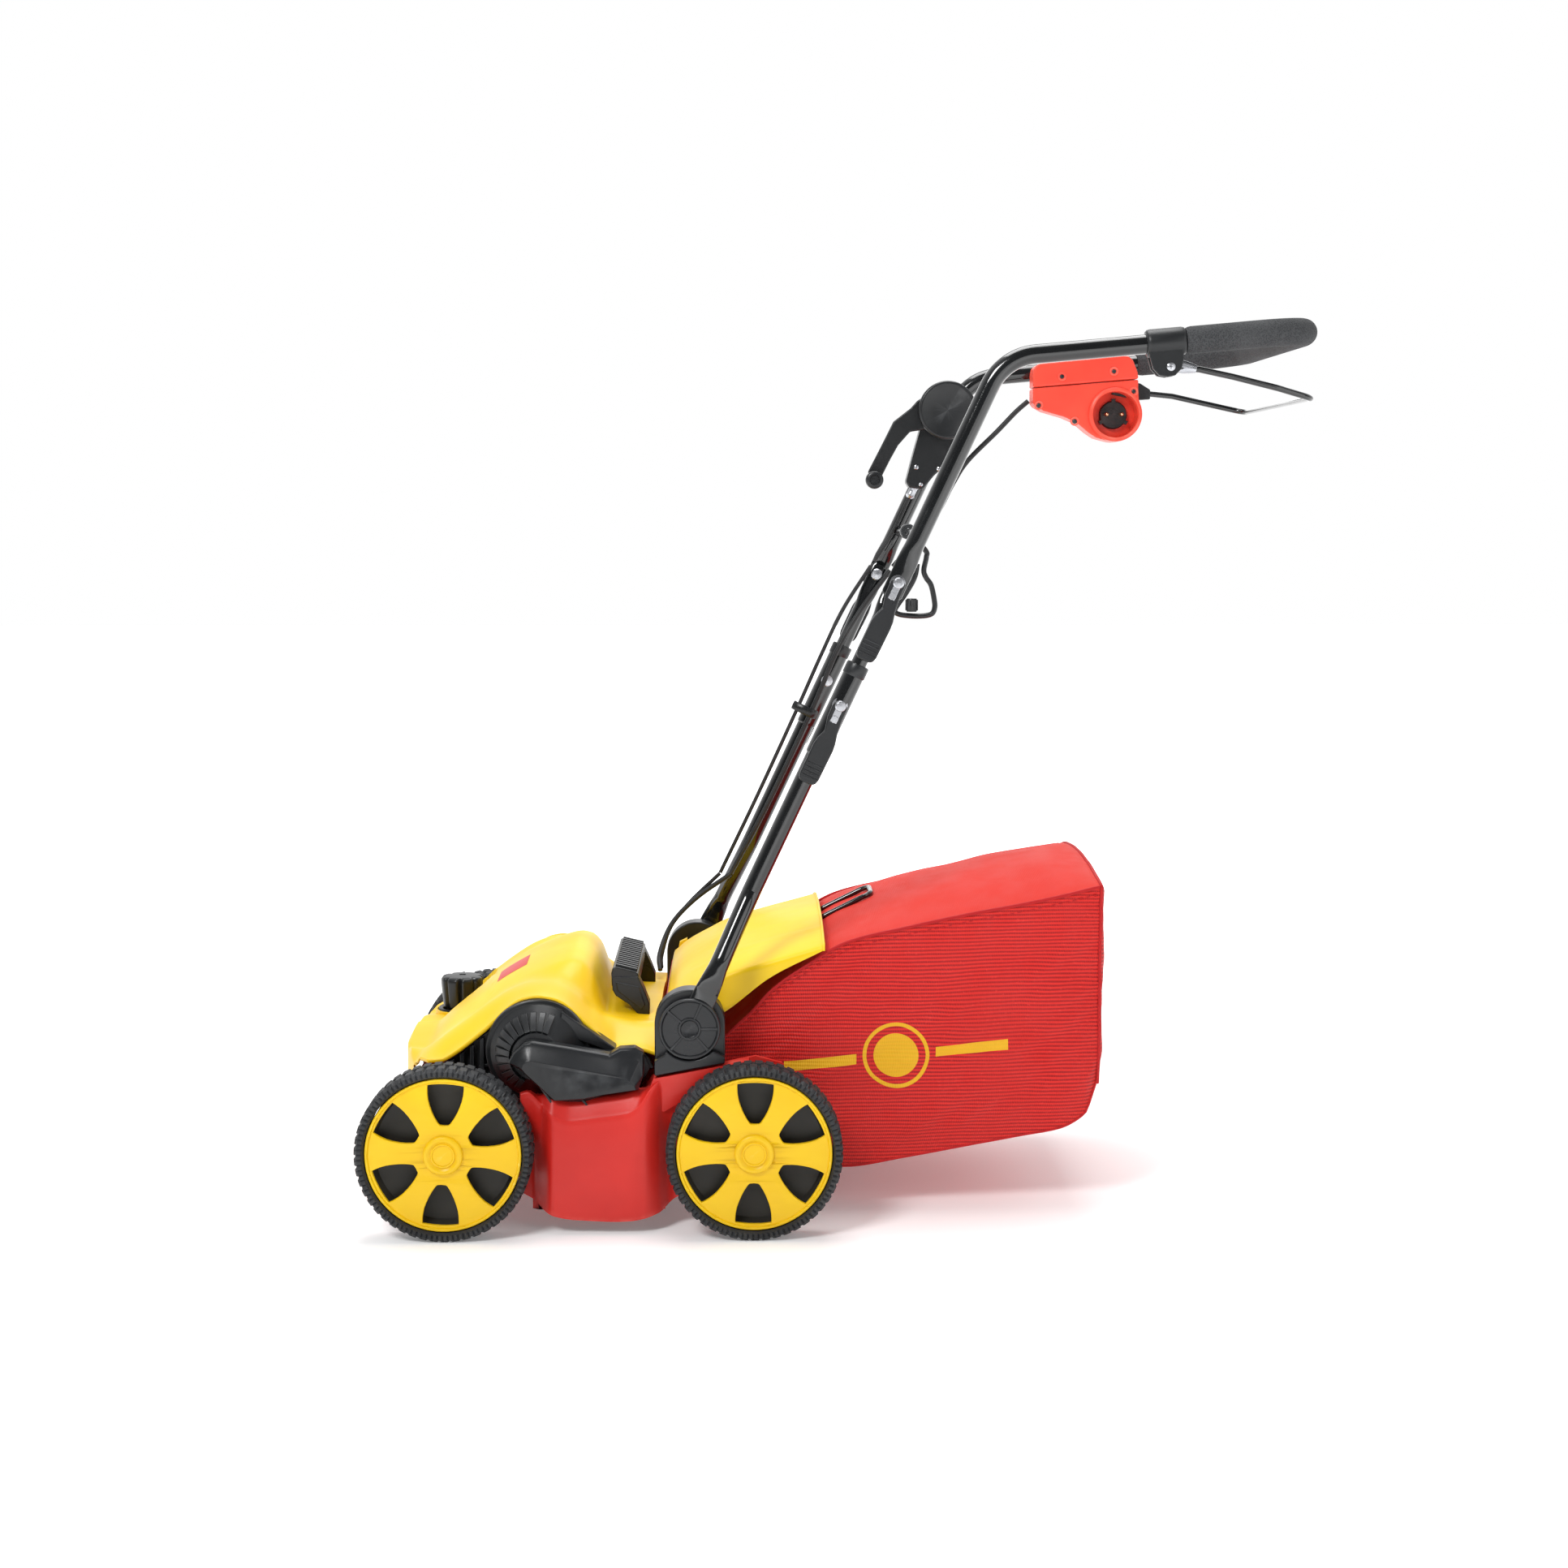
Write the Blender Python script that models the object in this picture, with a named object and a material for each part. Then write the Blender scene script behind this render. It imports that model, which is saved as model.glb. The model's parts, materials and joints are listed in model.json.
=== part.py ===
"""Walk-behind electric lawn scarifier with a catch bag.

Metres, +Z up, ground at Z = 0. +X points to the rear (to the handle), -Y is the belt side.
Lengths in the tables below are in millimetres and are scaled once, by MM.
"""
import math

import bmesh
import bpy
from mathutils import Matrix, Vector

MM = 0.001
GAP = 0.4                      # clearance between pieces that touch
ROUND = 24                     # facets of an ordinary round piece

# Wheels
WHEEL_FACETS = 24
WHEEL_TURN = math.pi / WHEEL_FACETS     # a facet, not a corner, faces the ground
WHEEL_R = 99.5 / math.cos(WHEEL_TURN)
FRONT_HUB = (-446.0, 99.5)
REAR_HUB = (-98.0, 99.5)
TYRE_Y = (251.0, 295.0)
RIM_R = 88.0
AXLE_R = 6.0
CRANK_PIVOT = (-385.0, 99.5)

# Housing
BODY_HALF = 232.0
SHELL = 3.5
DECK_TOP = 134.0
HOOD_HALF = 200.0
FLAP_HALF = 189.0             # passes between the handle's tubes
FLAP_PIN = (-190.0, 243.0)

# Drive
MOTOR = (-346.0, 199.0)
ROTOR = (-245.0, 66.0)
BLADE_R = 62.0
BLADE_COUNT = 10
MOTOR_PULLEY_R = 9.0
ROTOR_PULLEY_R = 20.0
BELT_Y = (-256.0, -248.0)
BELT_THICK = 2.2

# Handle
PIVOT = (-171.0, 233.0)
HANDLE_ANGLE = math.radians(64.9)
HANDLE_Y = 203.0
TUBE_R = 11.0
SLEEVE_R = 12.5
MIDDLE_R = 9.0
LOWER_BOLT_AT = 402.0          # distances from the pivot, along the handle
UPPER_BOLT_AT = 554.0
SLEEVE_AT = (345.0, 446.0)
BEND_AT = 831.0
GRIP_ANGLE = math.radians(5.1)
HANDLE_END = 530.0             # X of the grip's cross bar axis
GRIP_R = 15.5
GRIP_FROM = (385.0, 399.0)     # X where the foam starts, left and right
RAIL_AT = 616.0                # cross rail, along the handle
BAIL_PIN = (367.0, 974.0)
SOCKET = (364.0, 938.0)
DEPTH_PIN = (150.0, 943.0)

# Catch bag
BAG_HALF = 184.0

COLOURS = {
    "yellow": ((0.93, 0.60, 0.02), 0.4, 0.0),
    "red": ((0.62, 0.03, 0.02), 0.4, 0.0),
    "orange_red": ((0.90, 0.12, 0.06), 0.4, 0.0),
    "black": ((0.02, 0.022, 0.025), 0.45, 0.0),
    "tyre": ((0.03, 0.032, 0.035), 0.8, 0.0),
    "gloss_black": ((0.012, 0.013, 0.015), 0.15, 0.0),
    "foam": ((0.03, 0.03, 0.032), 0.9, 0.0),
    "bag_red": ((0.55, 0.01, 0.02), 0.8, 0.0),
    "steel": ((0.6, 0.6, 0.62), 0.3, 1.0),
}


# ---------------------------------------------------------------- helpers

def clear_scene():
    for item in list(bpy.data.objects):
        bpy.data.objects.remove(item)


def material(name):
    found = bpy.data.materials.get(name)
    if found:
        return found
    colour, roughness, metallic = COLOURS[name]
    made = bpy.data.materials.new(name)
    made.use_nodes = True
    shader = made.node_tree.nodes["Principled BSDF"]
    shader.inputs["Base Color"].default_value = (*colour, 1.0)
    shader.inputs["Roughness"].default_value = roughness
    shader.inputs["Metallic"].default_value = metallic
    return made


def make(name, bm, colour="black", smooth=True, origin=(0.0, 0.0, 0.0)):
    """An object from a bmesh in millimetres, with its origin at the given point."""
    origin = Vector(origin)
    bmesh.ops.remove_doubles(bm, verts=bm.verts, dist=1e-4)
    bmesh.ops.recalc_face_normals(bm, faces=bm.faces)
    bmesh.ops.translate(bm, verts=bm.verts, vec=-origin)
    bmesh.ops.scale(bm, verts=bm.verts, vec=(MM, MM, MM))
    mesh = bpy.data.meshes.new(name)
    bm.to_mesh(mesh)
    bm.free()
    item = bpy.data.objects.new(name, mesh)
    item.location = origin * MM
    bpy.context.collection.objects.link(item)
    item.data.materials.append(material(colour))
    if smooth:
        mesh.shade_smooth()
        mesh.set_sharp_from_angle(angle=math.radians(35))
    return item


def boolean(item, bm, operation="DIFFERENCE"):
    """Cut a shape out of an object, or join one to it, with a hidden helper object."""
    number = len(item.modifiers)
    helper = make(f"guide_{item.name}_{number}", bm, smooth=False)
    helper.hide_render = True
    helper.display_type = "WIRE"
    modifier = item.modifiers.new(f"step_{number}", "BOOLEAN")
    modifier.operation = operation
    modifier.solver = "EXACT"
    modifier.object = helper
    return item


def loft(rings, closed_ends=True):
    """Skin a list of equal rings of points; the rings' ends are capped."""
    bm = bmesh.new()
    rows = [[bm.verts.new(point) for point in ring] for ring in rings]
    count = len(rows[0])
    for first, second in zip(rows, rows[1:]):
        for i in range(count):
            j = (i + 1) % count
            bm.faces.new((first[i], first[j], second[j], second[i]))
    if closed_ends:
        bm.faces.new(rows[0])
        bm.faces.new(list(reversed(rows[-1])))
    else:
        for i in range(count):
            j = (i + 1) % count
            bm.faces.new((rows[-1][i], rows[-1][j], rows[0][j], rows[0][i]))
    return bm


def plate(outline, low, high):
    """A side-view outline (X, Z) with its thickness along Y."""
    return loft([[(x, y, z) for x, z in outline] for y in (low, high)])


def slab(outline, low, high):
    """A plan outline (X, Y) with its height along Z."""
    return loft([[(x, y, z) for x, y in outline] for z in (low, high)])


def box(x, y, z):
    return plate([(x[0], z[0]), (x[1], z[0]), (x[1], z[1]), (x[0], z[1])], *y)


def merge(*parts):
    """Several separate bodies in one mesh."""
    whole = parts[0]
    for part in parts[1:]:
        mesh = bpy.data.meshes.new("part")
        part.to_mesh(mesh)
        part.free()
        whole.from_mesh(mesh)
        bpy.data.meshes.remove(mesh)
    return whole


def circle(centre, radius, count=ROUND, start=0.0):
    step = 2 * math.pi / count
    return [(centre[0] + radius * math.cos(start + i * step),
             centre[1] + radius * math.sin(start + i * step)) for i in range(count)]


def disc(centre, radius, low, high, count=ROUND, start=0.0):
    """A round solid about an axis along Y."""
    return plate(circle(centre, radius, count, start), low, high)


def ring(centre, outer, inner, low, high, count=ROUND):
    """A round tube about an axis along Y."""
    return turned(centre, [(outer, low), (outer, high), (inner, high), (inner, low)], count)


def turned(centre, profile, count=ROUND, start=0.0):
    """A closed profile of (radius, Y) turned about an axis along Y."""
    rings = []
    for i in range(count):
        angle = start + 2 * math.pi * i / count
        rings.append([(centre[0] + r * math.cos(angle), y, centre[1] + r * math.sin(angle))
                      for r, y in profile])
    return loft(rings, closed_ends=False)


def upright(centre, profile, count=ROUND):
    """A closed profile of (radius, Z) turned about an upright axis."""
    rings = []
    for i in range(count):
        angle = 2 * math.pi * i / count
        rings.append([(centre[0] + r * math.cos(angle), centre[1] + r * math.sin(angle), z)
                      for r, z in profile])
    return loft(rings, closed_ends=False)


def sweep(points, radii, sides=10, inner=None):
    """A tube along points; radii gives (across Y, in the side plane) at each point."""
    path = [Vector(p) for p in points]
    outer, bore = [], []
    for i, here in enumerate(path):
        before = path[max(i - 1, 0)]
        after = path[min(i + 1, len(path) - 1)]
        along = (after - before).normalized()
        side = Vector((0, 1, 0)) if i == 0 else side
        side = (side - along * side.dot(along)).normalized()
        up = along.cross(side)
        wide, deep = radii[i] if isinstance(radii, list) else (radii, radii)
        for store, extra in ((outer, 1.0), (bore, (inner or 0) / max(deep, 1e-6))):
            store.append([here + side * (wide * extra * math.cos(a)) + up * (deep * extra * math.sin(a))
                          for a in (2 * math.pi * k / sides for k in range(sides))])
    if inner is None:
        return loft(outer)
    return loft(outer + list(reversed(bore)), closed_ends=False)


def bent(points, radius, steps=5):
    """Round the corners of a path with arcs of the given radius."""
    path = [Vector(p) for p in points]
    out = [path[0]]
    for before, here, after in zip(path, path[1:], path[2:]):
        a = (before - here).normalized()
        b = (after - here).normalized()
        half = a.angle(b) / 2
        reach = radius / math.tan(half)
        centre = here + (a + b).normalized() * (radius / math.sin(half))
        start = (here + a * reach - centre).normalized()
        end = (here + b * reach - centre).normalized()
        for k in range(steps + 1):
            out.append(centre + start.slerp(end, k / steps) * radius)
    out.append(path[-1])
    return out


def inset(outline, distance):
    """An outline moved inwards by a distance, with mitred corners (points run clockwise in X, Z)."""
    count = len(outline)
    area = sum(outline[i][0] * outline[(i + 1) % count][1] - outline[(i + 1) % count][0] * outline[i][1]
               for i in range(count))
    sign = 1 if area > 0 else -1
    moved = []
    for i in range(count):
        a, b, c = (Vector(outline[(i + k) % count]) for k in (-1, 0, 1))
        first = (b - a).normalized()
        second = (c - b).normalized()
        normal_a = Vector((-first.y, first.x)) * sign
        normal_b = Vector((-second.y, second.x)) * sign
        mitre = (normal_a + normal_b).normalized()
        reach = distance / max(mitre.dot(normal_b), 0.4)
        moved.append(tuple(b + mitre * reach))
    return moved


def along_handle(distance, y=0.0, off=0.0):
    """A point on the handle's sloping line; off is square to it, to the rear and down."""
    c, s = math.cos(HANDLE_ANGLE), math.sin(HANDLE_ANGLE)
    return (PIVOT[0] + distance * c + off * s, y, PIVOT[1] + distance * s - off * c)


def flat2(point):
    return (point[0], point[2])


SIDES = {"left": -1, "right": 1}


def span(side, a, b):
    """A Y range on one side of the machine, given by its distances from the middle."""
    return tuple(sorted((side * a, side * b)))


# ---------------------------------------------------------------- wheels

def wheel(place, hub, side):
    name = f"{place}_{'left' if side < 0 else 'right'}"
    y_in, y_out = TYRE_Y
    tread = [(WHEEL_R - 6, y_in), (WHEEL_R, y_in + 7), (WHEEL_R, y_out - 7), (WHEEL_R - 6, y_out),
             (RIM_R + GAP, y_out), (RIM_R + GAP, y_in)]
    pin = (hub[0], 0, hub[1])
    tread = [(r, side * y) for r, y in tread]
    make(f"tyre_{name}", turned(hub, tread, WHEEL_FACETS, WHEEL_TURN), "tyre", origin=pin)
    web = y_out - 18
    rim = [(RIM_R, y_in + 2), (RIM_R, y_out - 9.5), (RIM_R - 4, y_out - 9.5), (RIM_R - 4, web),
           (AXLE_R + 1, web), (AXLE_R + 1, y_in - 1), (15, y_in - 1), (15, web - 4), (RIM_R - 4, web - 4),
           (RIM_R - 4, y_in + 2)]
    make(f"rim_{name}", turned(hub, [(r, side * y) for r, y in rim], WHEEL_FACETS, WHEEL_TURN), "black",
         origin=pin)
    face = span(side, y_out - 9, y_out - 3)
    cover = make(f"cover_{name}", disc(hub, RIM_R, *face, WHEEL_FACETS, WHEEL_TURN), "yellow", origin=pin)
    windows = []
    for i in range(6):
        turn = math.pi / 2 + i * math.pi / 3
        shape = [(32, -7), (32, 7), (54, 11), (77, 21), (77, -21), (54, -11)]
        outline = [(hub[0] + r * math.cos(turn) - w * math.sin(turn),
                    hub[1] + r * math.sin(turn) + w * math.cos(turn)) for r, w in shape]
        windows.append(plate(outline, *span(side, y_out - 20, y_out + 5)))
    boolean(cover, merge(*windows))
    boolean(cover, disc(hub, 21.5, *span(side, y_out - 8.5, y_out + 1.5)), "UNION")


def wheels():
    for place, hub in (("front", FRONT_HUB), ("rear", REAR_HUB)):
        for side in SIDES.values():
            wheel(place, hub, side)


def axles():
    reach = TYRE_Y[1] - 12
    make("rear_axle", disc(REAR_HUB, AXLE_R, -reach, reach, 12), "steel",
         origin=(REAR_HUB[0], 0, REAR_HUB[1]))
    crank = make("front_axle", disc(CRANK_PIVOT, AXLE_R, -246, 246, 12), "steel",
                 origin=(CRANK_PIVOT[0], 0, CRANK_PIVOT[1]))
    for side in SIDES.values():
        arm = [(CRANK_PIVOT[0] + 11, CRANK_PIVOT[1] - 9), (CRANK_PIVOT[0] + 11, CRANK_PIVOT[1] + 9),
               (FRONT_HUB[0] - 11, FRONT_HUB[1] + 9), (FRONT_HUB[0] - 11, FRONT_HUB[1] - 9)]
        boolean(crank, plate(arm, *span(side, 238, 245)), "UNION")
        boolean(crank, disc(FRONT_HUB, AXLE_R, *span(side, 240, reach), 12), "UNION")


# ---------------------------------------------------------------- housing

def deck():
    shell = [(-500, 58), (-508, DECK_TOP), (-240, DECK_TOP), (-214, 166), (-198, 176),
             (-150, 186), (-150, 58)]
    item = make("deck", plate(shell, -BODY_HALF, BODY_HALF), "red")
    for side in SIDES.values():
        bulge = [(-352, 228), (-330, 266), (-220, 266), (-200, 242), (-200, 228)]
        boolean(item, slab([(x, side * y) for x, y in bulge], 20, DECK_TOP), "UNION")
        wing = [(-156, 62), (-156, 184), (-136, 190), (-96, 198), (-66, 190), (-62, 150), (-72, 80),
                (-90, 64)]
        boolean(item, plate(wing, *span(side, 226, 232)), "UNION")
        ledge = [(-226, 142), (-212, 176), (-136, 190), (-104, 196), (-104, 184), (-150, 168), (-200, 138)]
        boolean(item, plate(ledge, *span(side, 229, 249)), "UNION")
    tower = [(-204, 168), (-204, 228), (-200, 228), (-200, 168)]
    boolean(item, plate(tower, -196, 196), "UNION")
    for y in (-100, 0, 100):
        lug = [(-203, 220), (-203, 227), (-196, 236), (-196, 247.7), (-185, 247.7), (-184, 236)]
        boolean(item, plate(lug, y - 6, y + 6), "UNION")
    room = [(-496, 40), (-504, DECK_TOP - SHELL), (-242, DECK_TOP - SHELL), (-216, 162), (-199, 172),
            (-154, 181), (-154, 40)]
    boolean(item, plate(room, SHELL - BODY_HALF, BODY_HALF - SHELL))
    for side in SIDES.values():
        hollow = [(-345, 235), (-327, 262.5), (-221, 262.5), (-206, 243), (-206, 235)]
        boolean(item, slab([(x, side * y) for x, y in hollow], 5, DECK_TOP - SHELL))
        boolean(item, disc(ROTOR, 20 + GAP, *span(side, 220, 240), 20))
        boolean(item, disc(CRANK_PIVOT, AXLE_R + GAP, *span(side, 220, 240), 12))
        boolean(item, disc(REAR_HUB, AXLE_R + GAP, *span(side, 220, 240), 12))
    boolean(item, box((-343, -267), (-259.5, -244), (120, 140)))
    boolean(item, box((-160, -140), (-186, 186), (112, 176)))
    boolean(item, disc(FLAP_PIN, 3 + GAP, -198, 198, 12))


def hood_edge(x):
    """Height of the hood's lower side edge."""
    table = [(-516, 150), (-491, 181), (-455, 189), (-408, 223), (-381, 248), (-364, 259), (-348, 262),
             (-332, 260), (-317, 254), (-299, 238), (-272, 212), (-256, 201), (-227, 200), (-209, 194)]
    return between(table, x)


def hood_crest(x):
    """Height of the hood along its middle."""
    table = [(-516, 186), (-505, 196), (-488, 203), (-454, 216), (-430, 235), (-404, 257), (-381, 270),
             (-357, 283), (-330, 293), (-310, 296), (-298, 284), (-285, 252), (-274, 230), (-240, 226),
             (-209, 222)]
    return between(table, x)


def between(table, x):
    for (x0, z0), (x1, z1) in zip(table, table[1:]):
        if x <= x1:
            return z0 + (z1 - z0) * max(x - x0, 0) / (x1 - x0)
    return table[-1][1]


def hood_point(x, y, half):
    """A point of the hood's outer surface; y runs from -1 to 1."""
    low, high = hood_edge(x), hood_crest(x)
    rise = 1 - abs(y) ** 2.6
    return (x, y * half, low + (high - low) * rise)


def sheet(rows, thickness):
    """A thin closed shell: the rows' surface, and a copy moved down by the thickness."""
    bm = bmesh.new()
    count = len(rows[0])
    top = [[bm.verts.new(p) for p in row] for row in rows]
    for a, b in zip(top, top[1:]):
        for i in range(count - 1):
            bm.faces.new((a[i], a[i + 1], b[i + 1], b[i]))
    bmesh.ops.recalc_face_normals(bm, faces=bm.faces)
    if sum(f.normal.z for f in bm.faces) < 0:
        bmesh.ops.reverse_faces(bm, faces=bm.faces)
    bm.normal_update()
    inner = {v: bm.verts.new(v.co - v.normal * thickness) for v in list(bm.verts)}
    for face in list(bm.faces):
        bm.faces.new([inner[v] for v in reversed(face.verts)])
    for edge in [e for e in bm.edges if e.is_boundary and e.verts[0] in inner and e.verts[1] in inner]:
        a, b = edge.verts
        bm.faces.new((a, b, inner[b], inner[a]))
    return bm


def hood():
    stations = [-512, -500, -486, -455, -430, -408, -381, -357, -332, -314, -298, -286, -274, -256, -227,
                -209]
    spread = [-1, -0.94, -0.8, -0.5, 0, 0.5, 0.8, 0.94, 1]
    rows = [[(-516, y * 168, 138) for y in spread], [(-515, y * 170, 178 + 8 * (1 - y * y)) for y in spread]]
    for x in stations:
        half = min(HOOD_HALF, 178 + (x + 512) * 0.9)
        rows.append([hood_point(x, y, half) for y in spread])
    item = make("hood", sheet(rows, 3), "yellow")
    boolean(item, slab(circle((-468, 90), 31, 20), 150, 240))
    boolean(item, disc(MOTOR, 60, -215, -160, 24))


def hood_fittings():
    make("knob_socket", upright((-468, 90), [(30.5, 172), (30.5, 206), (25, 206), (25, 176), (6.5, 176),
                                            (6.5, 172)], 20))
    knob = make("depth_knob", slab(circle((-468, 90), 27, 16), 207, 229), origin=(-468, 90, 207))
    boolean(knob, merge(*[slab(circle(p, 5.5, 8), 200, 225) for p in circle((-468, 90), 29.5, 8)]))
    boolean(knob, slab(circle((-468, 90), 6, 12), 165, 210), "UNION")
    bar = make("carry_handle", box((-267, -220), (-100, 100), (252, 273)))
    for side in SIDES.values():
        leg = [(-267, 262), (-262, 230), (-226, 230), (-220, 262)]
        boolean(bar, plate(leg, *span(side, 76, 100)), "UNION")


def side_panels():
    xs = [-455, -408, -381, -364, -348, -332, -317, -299, -272, -256, -227]
    edge = [(x, hood_edge(x) - 5) for x in xs]
    rear = [(-214, 178), (-232, DECK_TOP + 14), (-243, DECK_TOP + 3)]
    outline = [(-458, DECK_TOP + 3)] + edge + rear
    cover = make("motor_cover", plate(outline, -189, -185))
    drum = [(59, -165), (59, -206), (52, -212), (28, -236), (10, -238), (10, -235), (27, -233), (50, -209),
            (56, -204), (56, -165)]
    boolean(cover, turned(MOTOR, drum, 20), "UNION")
    boolean(cover, disc(MOTOR, 9, -200, -180, 12))
    make("vent_panel", plate(outline, 185, 189))
    cheek = [(-376, 196), (-370, 207), (-357, 219), (-348, 221), (-309, 214), (-262, 205), (-250, 212),
             (-233, 213), (-223, 207), (-223, 182), (-229, 164), (-268, 158), (-291, 150), (-326, 151),
             (-361, 187)]
    belt_cover = make("belt_cover", plate(cheek, -264, -240))
    boolean(belt_cover, plate(inset(cheek, 2.5), -261, -230))
    boolean(belt_cover, box((-346, -283), (-259, -244), (140, 176)))


def motor():
    body = make("motor_body", disc(MOTOR, 44, -130, 70, 20), "steel")
    boolean(body, box((MOTOR[0] - 30, MOTOR[0] + 30), (-110, 50), (DECK_TOP + 0.5, 175)), "UNION")
    boolean(body, disc(MOTOR, 5.5, -135, -90, 12))
    shaft = make("motor_shaft", disc(MOTOR, 5, -258, -92, 12), "steel", origin=(MOTOR[0], 0, MOTOR[1]))
    boolean(shaft, disc(MOTOR, 36, -140, -137, 16), "UNION")
    blades = []
    for i in range(6):
        turn = i * math.pi / 3
        c, s = math.cos(turn), math.sin(turn)
        strip = [(12, -1.5), (34, -1.5), (34, 1.5), (12, 1.5)]
        blades.append(plate([(MOTOR[0] + r * c - w * s, MOTOR[1] + r * s + w * c) for r, w in strip],
                            -152, -139))
    boolean(shaft, merge(*blades), "UNION")
    boolean(shaft, disc(MOTOR, MOTOR_PULLEY_R, *BELT_Y, 16), "UNION")
    make("rotor_pulley", ring(ROTOR, ROTOR_PULLEY_R, 8.4, *BELT_Y, 20), "steel",
         origin=(ROTOR[0], 0, ROTOR[1]))


def belt_loop(extra):
    """Outline round both pulleys, a set distance outside them."""
    small = Vector(MOTOR)
    large = Vector(ROTOR)
    away = large - small
    heading = math.atan2(away.y, away.x)
    lean = math.acos((MOTOR_PULLEY_R - ROTOR_PULLEY_R) / away.length)
    points = []
    for centre, radius, start, end in ((large, ROTOR_PULLEY_R, heading - lean, heading + lean),
                                       (small, MOTOR_PULLEY_R, heading + lean, heading + 2 * math.pi - lean)):
        for k in range(9):
            a = start + (end - start) * k / 8
            reach = radius + extra
            points.append((centre.x + reach * math.cos(a), centre.y + reach * math.sin(a)))
    return points


def belt():
    outer, inner = belt_loop(0.8 + BELT_THICK), belt_loop(0.8)
    low, high = BELT_Y
    rings = [[(o[0], low, o[1]), (o[0], high, o[1]), (i[0], high, i[1]), (i[0], low, i[1])]
             for o, i in zip(outer, inner)]
    make("drive_belt", loft(rings, closed_ends=False))


def rotor():
    pin = (ROTOR[0], 0, ROTOR[1])
    shaft = [(0.01, -258), (8, -258), (8, -238), (11, -238), (11, 238), (0.01, 238)]
    make("rotor_shaft", turned(ROTOR, shaft, 16),
         "steel", origin=pin)
    for word, side in SIDES.items():
        make(f"rotor_bearing_{word}", ring(ROTOR, 20, 11.4, *span(side, 225, 236.5), 20), "steel")
    blades = []
    for i in range(BLADE_COUNT):
        y = -195 + 390 * i / (BLADE_COUNT - 1)
        turn = math.radians(50 * i)
        c, s = math.cos(turn), math.sin(turn)
        rings = []
        for k in range(8):
            a = 2 * math.pi * k / 8
            reach = BLADE_R if k in (0, 4) else 18
            ca, sa = math.cos(a), math.sin(a)
            spread = [(13, y - 1.5), (reach, y - 1.5), (reach, y + 1.5), (13, y + 1.5)]
            rings.append([(ROTOR[0] + r * (ca * c - sa * s), yy, ROTOR[1] + r * (ca * s + sa * c))
                          for r, yy in spread])
        blades.append(loft(rings, closed_ends=False))
    stack = make("rotor_blades", ring(ROTOR, 16, 11.4, -205, 205, 12), "steel", smooth=False, origin=pin)
    boolean(stack, merge(*blades), "UNION")


def pivot_housings():
    arch = [(-211, 179), (-211, 236)] + [(PIVOT[0] + 40 * math.cos(a), 236 + 40 * math.sin(a))
                                        for a in (math.pi * (8 - k) / 8 for k in range(1, 8))]
    arch += [(-131, 236), (-131, 193.5)]
    for word, side in SIDES.items():
        item = make(f"pivot_housing_{word}", plate(arch, *span(side, 208, 237)))
        foot = [(-211, 179), (-211, 198), (-131, 198), (-131, 193.5)]
        boolean(item, plate(foot, *span(side, 236, 249)), "UNION")
        boolean(item, disc(PIVOT, 5 + GAP, *span(side, 200, 240), 12))
        cap = [(0.01, 212), (5, 212), (5, 246.5), (34, 246.5), (34, 249), (0.01, 249)]
        make(f"pivot_cap_{word}", turned(PIVOT, [(r, side * y) for r, y in cap], 20),
             origin=(PIVOT[0], 0, PIVOT[1]))


def flap():
    stations = [(-199, 232, 244, 252), (-184, 228, 256, 272), (-150, 232, 275, 292), (-128, 242, 286, 303),
                (-80, 279, 300, 318), (-18, 311, 318, 333)]
    rows = []
    for x, skirt, edge, crest in stations:
        half = [(FLAP_HALF, skirt), (FLAP_HALF, edge - 3), (FLAP_HALF - 8, edge + 2),
                (FLAP_HALF * 0.6, edge + 0.8 * (crest - edge))]
        rows.append([(x, -y, z) for y, z in half] + [(x, 0, crest)] + [(x, y, z) for y, z in reversed(half)])
    item = make("rear_flap", sheet(rows, 2.5), "yellow", origin=(FLAP_PIN[0], 0, FLAP_PIN[1]))
    for y in (-170, -75, 75, 170):
        lug = [(FLAP_PIN[0] - 5, 238), (FLAP_PIN[0] + 5, 238), (FLAP_PIN[0] + 6, 262), (FLAP_PIN[0] - 3, 256)]
        boolean(item, plate(lug, y - 5, y + 5), "UNION")
    boolean(item, disc(FLAP_PIN, 3 + GAP, -192, 192, 12))
    make("flap_pin", disc(FLAP_PIN, 3, -186, 186, 10), "steel")


# ---------------------------------------------------------------- catch bag

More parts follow.
